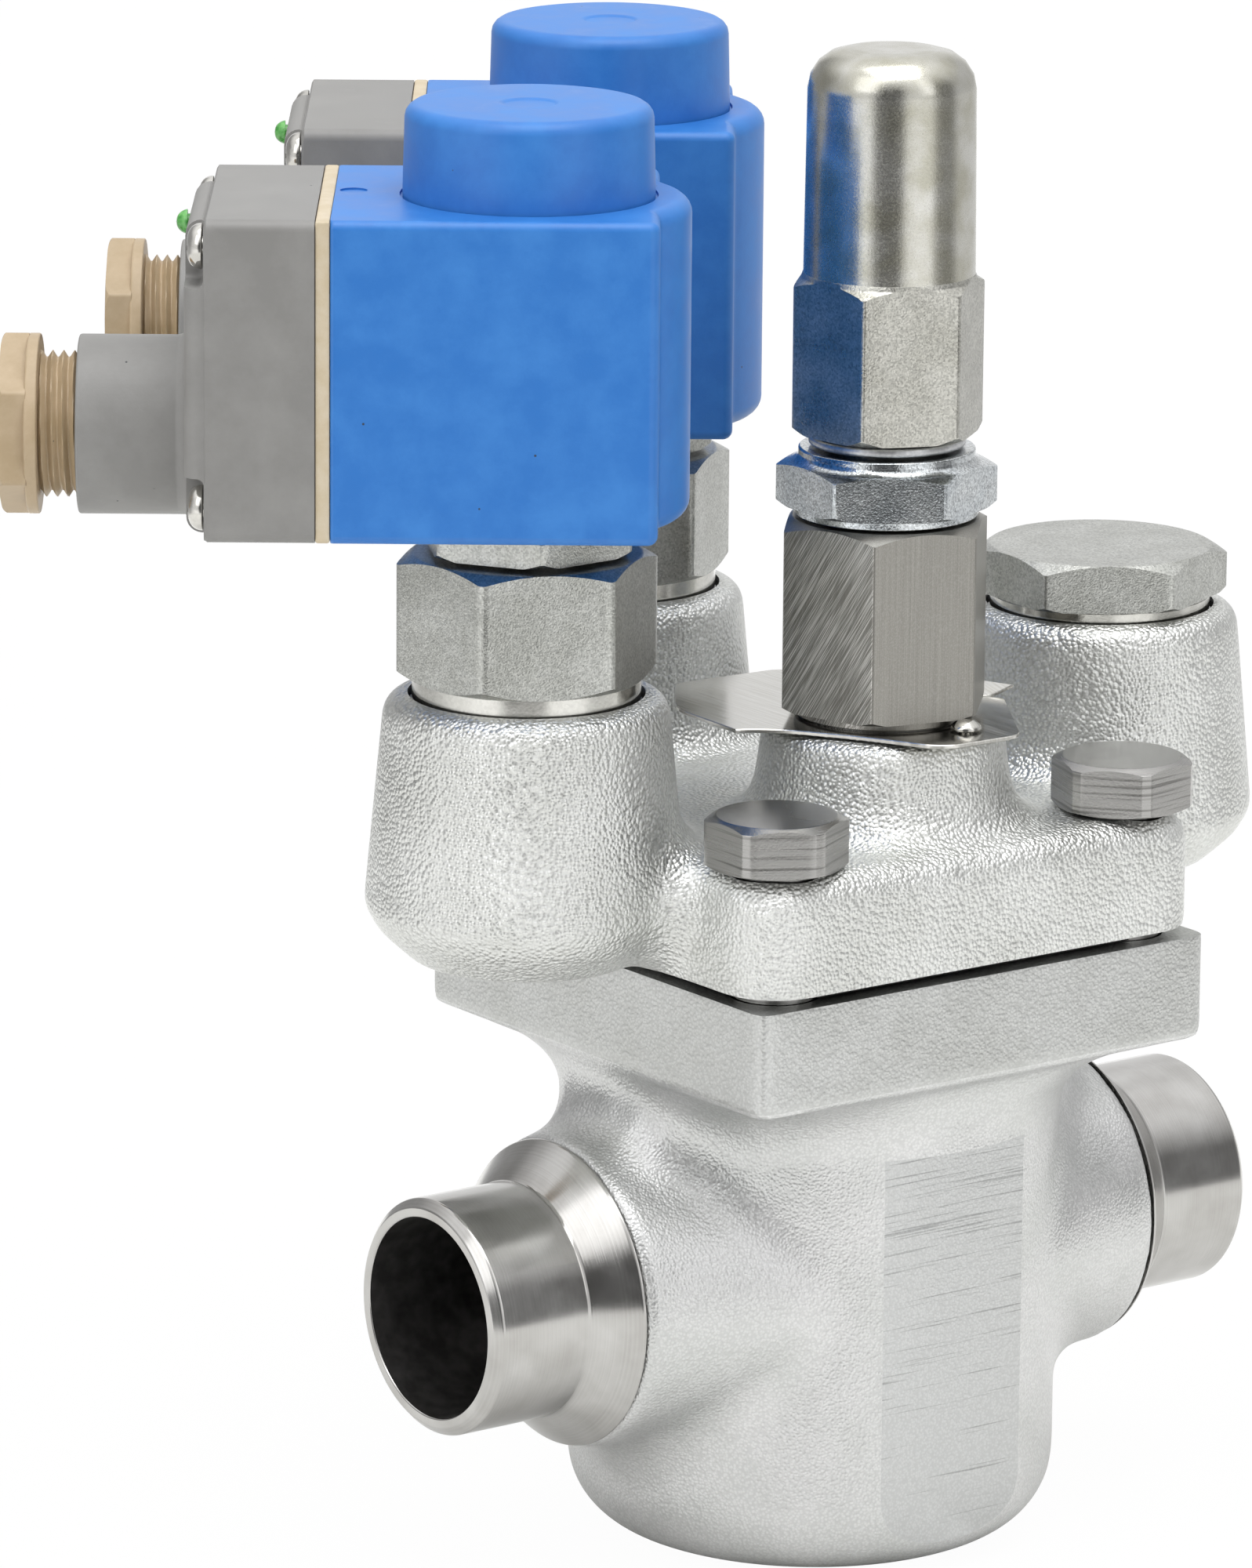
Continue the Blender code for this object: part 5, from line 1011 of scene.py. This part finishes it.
screw = spun([(0, 123.3), (1.2, 123.15, 0.4), (2.3, 122.3, 0.5), (2.2, 121.9, 0.1), (1, 121.9), (1, 117),
              (0, 117)], 48)
piece(move(screw, Vector((3.0, SCREW_Y, 0)) * MM), "plate_drive_screw", "valve", [sheet],
      ["plate_screw"])

# %% [markdown]
# ## Coils
# Both coils are the same moulding on two ports, so one loop makes them. Lengths are given as s, from the
# tube's axis towards the terminals, t sideways, and height. The moulded outline is a box with the winding's
# round back bulging out of it. Its rings are inset towards the top and bottom rims, which rounds the rims as
# the mould does.

# %% Coil sizes in millimetres
COIL_LOW, COIL_TOP, COIL_HALF, COIL_BACK, COIL_FRONT = 154.0, 198.5, 22.3, 17.9, 26.5
COVER_START, COVER_STEP, COVER_END, GLAND_Z, BOSS_FACE, LENS_Z = 28.6, 43.5, 46.3, 166.0, 61.6, 194.3
THREAD_R, THREAD_DEPTH, THREAD_PITCH = 10.1, 0.95, 1.5
COIL_TURN = Matrix.Rotation(math.radians(143.6), 4, "Z")
ALONG_COIL = COIL_TURN @ Matrix.Rotation(math.pi / 2, 4, "Y")


def turn_points(centre_s, centre_t, radius, start, end, count, rim):
    """Points of an arc with their outward directions and rim radius."""
    points = []
    for k in range(count):
        angle = math.radians(start + (end - start) * k / (count - 1))
        points.append((centre_s + radius * math.cos(angle), centre_t + radius * math.sin(angle),
                       math.cos(angle), math.sin(angle), rim))
    return points


# %% Coil outline
half_outline = turn_points(COIL_FRONT - 0.5, COIL_HALF - 0.5, 0.5, 0, 90, 4, 1.3)
half_outline = [(s, t, 0.0, 1.0, rim) for s, t, _, _, rim in half_outline]
half_outline += turn_points(1.5 - COIL_BACK, COIL_HALF - 1.5, 1.5, 90, 180, 6, 1.3)
blend = 2.6  # radius between the box's back and the bulge
blend_t = math.sqrt((COIL_HALF + blend) ** 2 - (COIL_BACK + blend) ** 2)
blend_angle = math.degrees(math.atan2(blend_t, -(COIL_BACK + blend)))
for k in range(6):
    angle = math.radians((blend_angle - 180) * k / 5)
    half_outline.append((-(COIL_BACK + blend) + blend * math.cos(angle), blend_t + blend * math.sin(angle),
                         -math.cos(angle), -math.sin(angle), 1.3 + 0.2 * k))
half_outline += turn_points(0, 0, COIL_HALF, blend_angle + 2, 179.5, 20, 2.4)
whole_outline = half_outline + [(s, -t, ns, -nt, rim) for s, t, ns, nt, rim in reversed(half_outline)]


def coil_rings():
    """The coil's outline, stacked from the bottom rim to the top one."""
    rings = []
    for height, sign in ((COIL_LOW, 1), (COIL_TOP, -1)):
        stack = []
        for k in range(7):
            angle = math.radians(90 - 15 * k)
            stack.append([(s - ns * rim * (1 - math.cos(angle)), t - nt * rim * (1 - math.cos(angle)),
                           height + sign * rim * (1 - math.sin(angle))) for s, t, ns, nt, rim in whole_outline])
        rings += stack if sign > 0 else reversed(stack)
    return rings


def cover_rings():
    """A rounded box whose end is set a little lower and has soft edges."""
    rings = []
    steps = [(COVER_START, COIL_TOP, 0.0), (COVER_STEP - 0.3, COIL_TOP, 0.0),
             (COVER_STEP, COIL_TOP - 0.25, 0.2), (COVER_STEP + 0.02, COIL_TOP - 1.0, 0.2),
             (COVER_STEP + 0.25, COIL_TOP - 1.25, 0.1)]
    for k in range(7):
        angle = math.radians(15 * k)
        steps.append((COVER_END - 2.2 + 2.2 * math.sin(angle), COIL_TOP - 1.25, 2.2 * (1 - math.cos(angle))))
    for s, top, inset in steps:
        wide, tall = COIL_HALF - inset, (top - COIL_LOW) / 2 - inset
        middle, corner = (top + COIL_LOW) / 2, 1.6
        ring = []
        for quarter, (st, sz) in enumerate(((1, 1), (-1, 1), (-1, -1), (1, -1))):
            for k in range(6):
                angle = math.radians(90 * quarter + 18 * k)
                ring.append((s, st * (wide - corner) + corner * math.cos(angle),
                             middle + sz * (tall - corner) + corner * math.sin(angle)))
        rings.append(ring)
    return rings


def on_coil(shape, place):
    """Turn a shape from s, t and height into its coil's place."""
    return move(shape, place, COIL_TURN)


def coil_point(place, s, t, z):
    """Where s, t and a height lie on the coil of a port."""
    return place + COIL_TURN @ Vector((s, t, z)) * MM


def along(shape, place, z=GLAND_Z):
    """Lay a turned shape down, with its axis along s."""
    return move(shape, coil_point(place, 0, 0, z), ALONG_COIL)


# %% Build both coils
def moulded_coil(place):
    """The moulding with its knob, hollow for the winding and the tube."""
    coil = on_coil(skinned(coil_rings()), place)
    knob = spun([(0, 210.8), (3.5, 210.8, 0.2), (4.0, 211.1, 0.3), (17.0, 211.1, 1.9), (17.3, COIL_TOP + 1),
                 (17.3, COIL_TOP - 1), (0, COIL_TOP - 1)])
    coil = join(coil, move(knob, place), on_coil(block((25.0, -10, 174), (33.5, 10, 190)), place))
    hollow = spun([(0, 195.5), (7.8, 195.5), (7.8, 193.5), (16.3, 193.5), (16.3, 159), (7.8, 159), (7.8, 153),
                   (0, 153)], 64)
    mark = drill(1.9, COIL_TOP - 0.25, COIL_TOP + 1, steps=32)
    groove = spun([(17.3, COIL_TOP + 0.5), (17.7, COIL_TOP + 0.5), (17.7, COIL_TOP - 0.4),
                   (17.3, COIL_TOP - 0.4)])
    return cut(coil, move(hollow, place), move(mark, coil_point(place, 24.0, -1.7, 0)), move(groove, place))


def terminal_box(place):
    """The cover over the terminals: the gland's boss, four pockets for the screws and a hole for the lens."""
    boss = spun([(0, BOSS_FACE), (12.35, BOSS_FACE, 0.35), (12.35, COVER_END - 2), (0, COVER_END - 2)])
    flare = along(spun([(0, COVER_END + 2), (12.3, COVER_END + 2), (12.45, COVER_END + 0.9, 0.8),
                        (13.9, COVER_END, 0.2), (13.9, COVER_END - 1.8), (0, COVER_END - 1.8)]), place)
    saw(flare, Vector((0, 0, (COIL_LOW + 0.9) * MM)), Vector((0, 0, -1)))
    box = join(on_coil(skinned(cover_rings()), place), along(boss, place), flare)
    entry = spun([(0, 62.6), (10.4, 62.6), (10.4, 49.6), (6.0, 49.6), (6.0, 38.5), (0, 38.5)])
    box = cut(box, on_coil(block((27.6, -14.3, 156.6), (40.9, 14.3, 195.9)), place), along(entry, place))
    for near, far in ((-26, -14.6), (14.6, 26)):
        for low, high in ((COIL_LOW - 3, COIL_LOW + 9.0), (COIL_TOP - 9.3, COIL_TOP + 3)):
            pocket = block((COVER_END - 2.7, near, low), (COVER_END + 3, far, high), 0.9)
            box = cut(box, on_coil(pocket, place))
    return cut(box, along(drill(1.4, 42.5, 48, steps=24), place, LENS_Z))


def terminal_screws(place):
    """Four domed heads with a cross recess."""
    heads = []
    for t in (-18.0, 18.0):
        for z in (158.25, 194.25):
            head = spun([(0, 2.15), (1.6, 2.1, 0.5), (3.1, 1.3, 0.9), (3.15, 0.0, 0.2), (1.4, 0), (1.4, -2),
                         (0, -2)], 48)
            head = cut(head, block((-0.35, -1.7, 1.4), (0.35, 1.7, 3)),
                       block((-1.7, -0.35, 1.4), (1.7, 0.35, 3)))
            heads.append(move(head, coil_point(place, COVER_END - 2.5, t, z), ALONG_COIL))
    return merged(*heads)


def gland_screw(place):
    """The gland's hexagon, its collar and a thread pressed out of fine rows of points."""
    head = flats(spun([(5.5, 72.2, 0.3), (11.9, 72.2, 0.5), (12.7, 71.6, 0.3), (12.7, 68.4), (5.5, 68.4)]),
                 22.0, 0)
    rows = 42
    thread = spun([(5.5, 68.6), (12.4, 68.6, 0.35), (12.4, 66.9, 0.25), (THREAD_R, 66.9, 0.05),
                   *((THREAD_R, 66.8 - (66.8 - 60.4) * k / rows) for k in range(rows + 1)), (9.4, 60.3),
                   (5.5, 60.3)])
    for vert in thread.verts:
        x, y, z = vert.co / MM
        radius = math.hypot(x, y)
        if radius > THREAD_R - 0.05 and z < 66.85:
            turn = (z / THREAD_PITCH - math.atan2(y, x) / (2 * math.pi)) % 1.0
            depth = THREAD_DEPTH * min(1.0, max(0.0, 1.25 * (1 - abs(2 * turn - 1)) - 0.05))
            vert.co.x *= (radius - depth) / radius
            vert.co.y *= (radius - depth) / radius
    return join(along(thread, place), along(head, place))


for side, place in PORTS.items():
    carrier = side + "_coil"
    lens = spun([(0, 48.2), (0.9, 48.05, 0.4), (1.65, 47.2, 0.5), (1.7, 46.65, 0.1), (1.1, 46.6), (1.1, 43.1),
                 (0, 43.1)], 48)
    seal = cut(block((COIL_FRONT + 0.02, -22.1, COIL_LOW + 0.15), (COVER_START - 0.02, 22.1, COIL_TOP - 0.1),
                     0.4, 2),
               block((COIL_FRONT - 1, -13, COIL_LOW + 6.5), (COVER_START + 1, 13, COIL_TOP - 6.5)))
    piece(moulded_coil(place), side + "_moulded_coil", carrier, [blue],
          [side + "_coil_housing"], 40)
    piece(terminal_box(place), side + "_terminal_box", carrier, [grey],
          [side + "_terminal_cover"], 40)
    piece(terminal_screws(place), side + "_terminal_screws", carrier, [bright_screw])
    piece(along(lens, place, LENS_Z), side + "_indicator_lens", carrier, [lens_green],
          [side + "_led_lens"])
    piece(gland_screw(place), side + "_gland_screw", side + "_gland", [beige],
          [side + "_gland_nut"])
    piece(on_coil(seal, place), side + "_silicone_gasket", carrier, [ivory],
          [side + "_terminal_gasket"])

# %% [markdown]
# ## Springs
# A compression spring is one wire, wound up a helix. A small circle is spun round the axis and raised a
# little at each step. A rigid spring would run through the piece that presses on it.


def wound(bottom, top, middle, radius_mm, wire_mm, turns):
    """A helix of round wire between two heights."""
    steps, wire = round(24 * turns), wire_mm * MM
    shape = bmesh.new()
    bmesh.ops.create_circle(shape, cap_ends=False, segments=12, radius=wire)
    bmesh.ops.rotate(shape, verts=shape.verts, cent=(0, 0, 0), matrix=Matrix.Rotation(math.pi / 2, 3, "X"))
    bmesh.ops.translate(shape, verts=shape.verts, vec=(radius_mm * MM, 0, bottom + wire))
    bmesh.ops.spin(shape, geom=[*shape.verts, *shape.edges], cent=(0, 0, 0), axis=(0, 0, 1), steps=steps,
                   angle=2 * math.pi * turns, dvec=(0, 0, (top - bottom - 2 * wire) / steps), use_merge=False)
    bmesh.ops.holes_fill(shape, edges=[e for e in shape.edges if e.is_boundary], sides=0)
    bmesh.ops.recalc_face_normals(shape, faces=shape.faces)
    return move(shape, middle)


for node, joint, middle, radius, wire, turns, fixed_top in (
        ("main_spring", "piston_travel", Vector((0, 0, 0)), 11.0, 1.4, 4.5, False),
        ("front_armature_spring", "front_armature_lift", PORTS["front"], 3.2, 0.4, 5, True),
        ("back_armature_spring", "back_armature_lift", PORTS["back"], 3.2, 0.4, 5, True)):
    bottom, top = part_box(node)[0][2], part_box(node)[1][2]
    coil_spring = piece(wound(bottom, top, middle, radius, wire, turns), "wound_" + node, "valve",
                        [spring_wire], [node], sharp=60.0)
    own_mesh(coil_spring)

# %% [markdown]
# ## Finishes of the CAD pieces that stay
# Seals, windings, the insert and the other inner pieces keep their CAD shapes, and each gets its own finish.

# %% Finish the CAD nodes
INNER_NODES = {
    fine_ground: ["insert_cylinder", "servo_piston", "piston_rod", "throttle_cone", "valve_disc",
                  "manual_spindle", "front_armature_tube", "back_armature_tube", "front_armature",
                  "back_armature"],
    spring_wire: ["spring_seat", "rod_nut"],
    rubber: ["insert_o_ring", "seat_o_ring", "spindle_o_ring", "front_gland_seal", "back_gland_seal"],
    ptfe: ["piston_ring", "valve_disc_seal"],
    copper: ["front_coil_winding", "back_coil_winding"],
    aluminium: ["plug_gasket", "front_pilot_gasket", "back_pilot_gasket", "front_gland_washer",
                "back_gland_washer"],
    fibre: ["cover_gasket"],
}
for finish, names in INNER_NODES.items():
    for name in names:
        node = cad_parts[name]
        node.data.materials.clear()
        node.data.materials.append(finish)
print("CAD pieces with a new finish:", sum(len(names) for names in INNER_NODES.values()))

# %% [markdown]
# ## Sizes
# Both boxes are printed, the CAD's and the dressed model's, for comparison. The dressed model
# has to stay in the CAD's box.

# %% Sizes
low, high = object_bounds()
print("visual box:", [round(x, 4) for x in (*low, *high)])
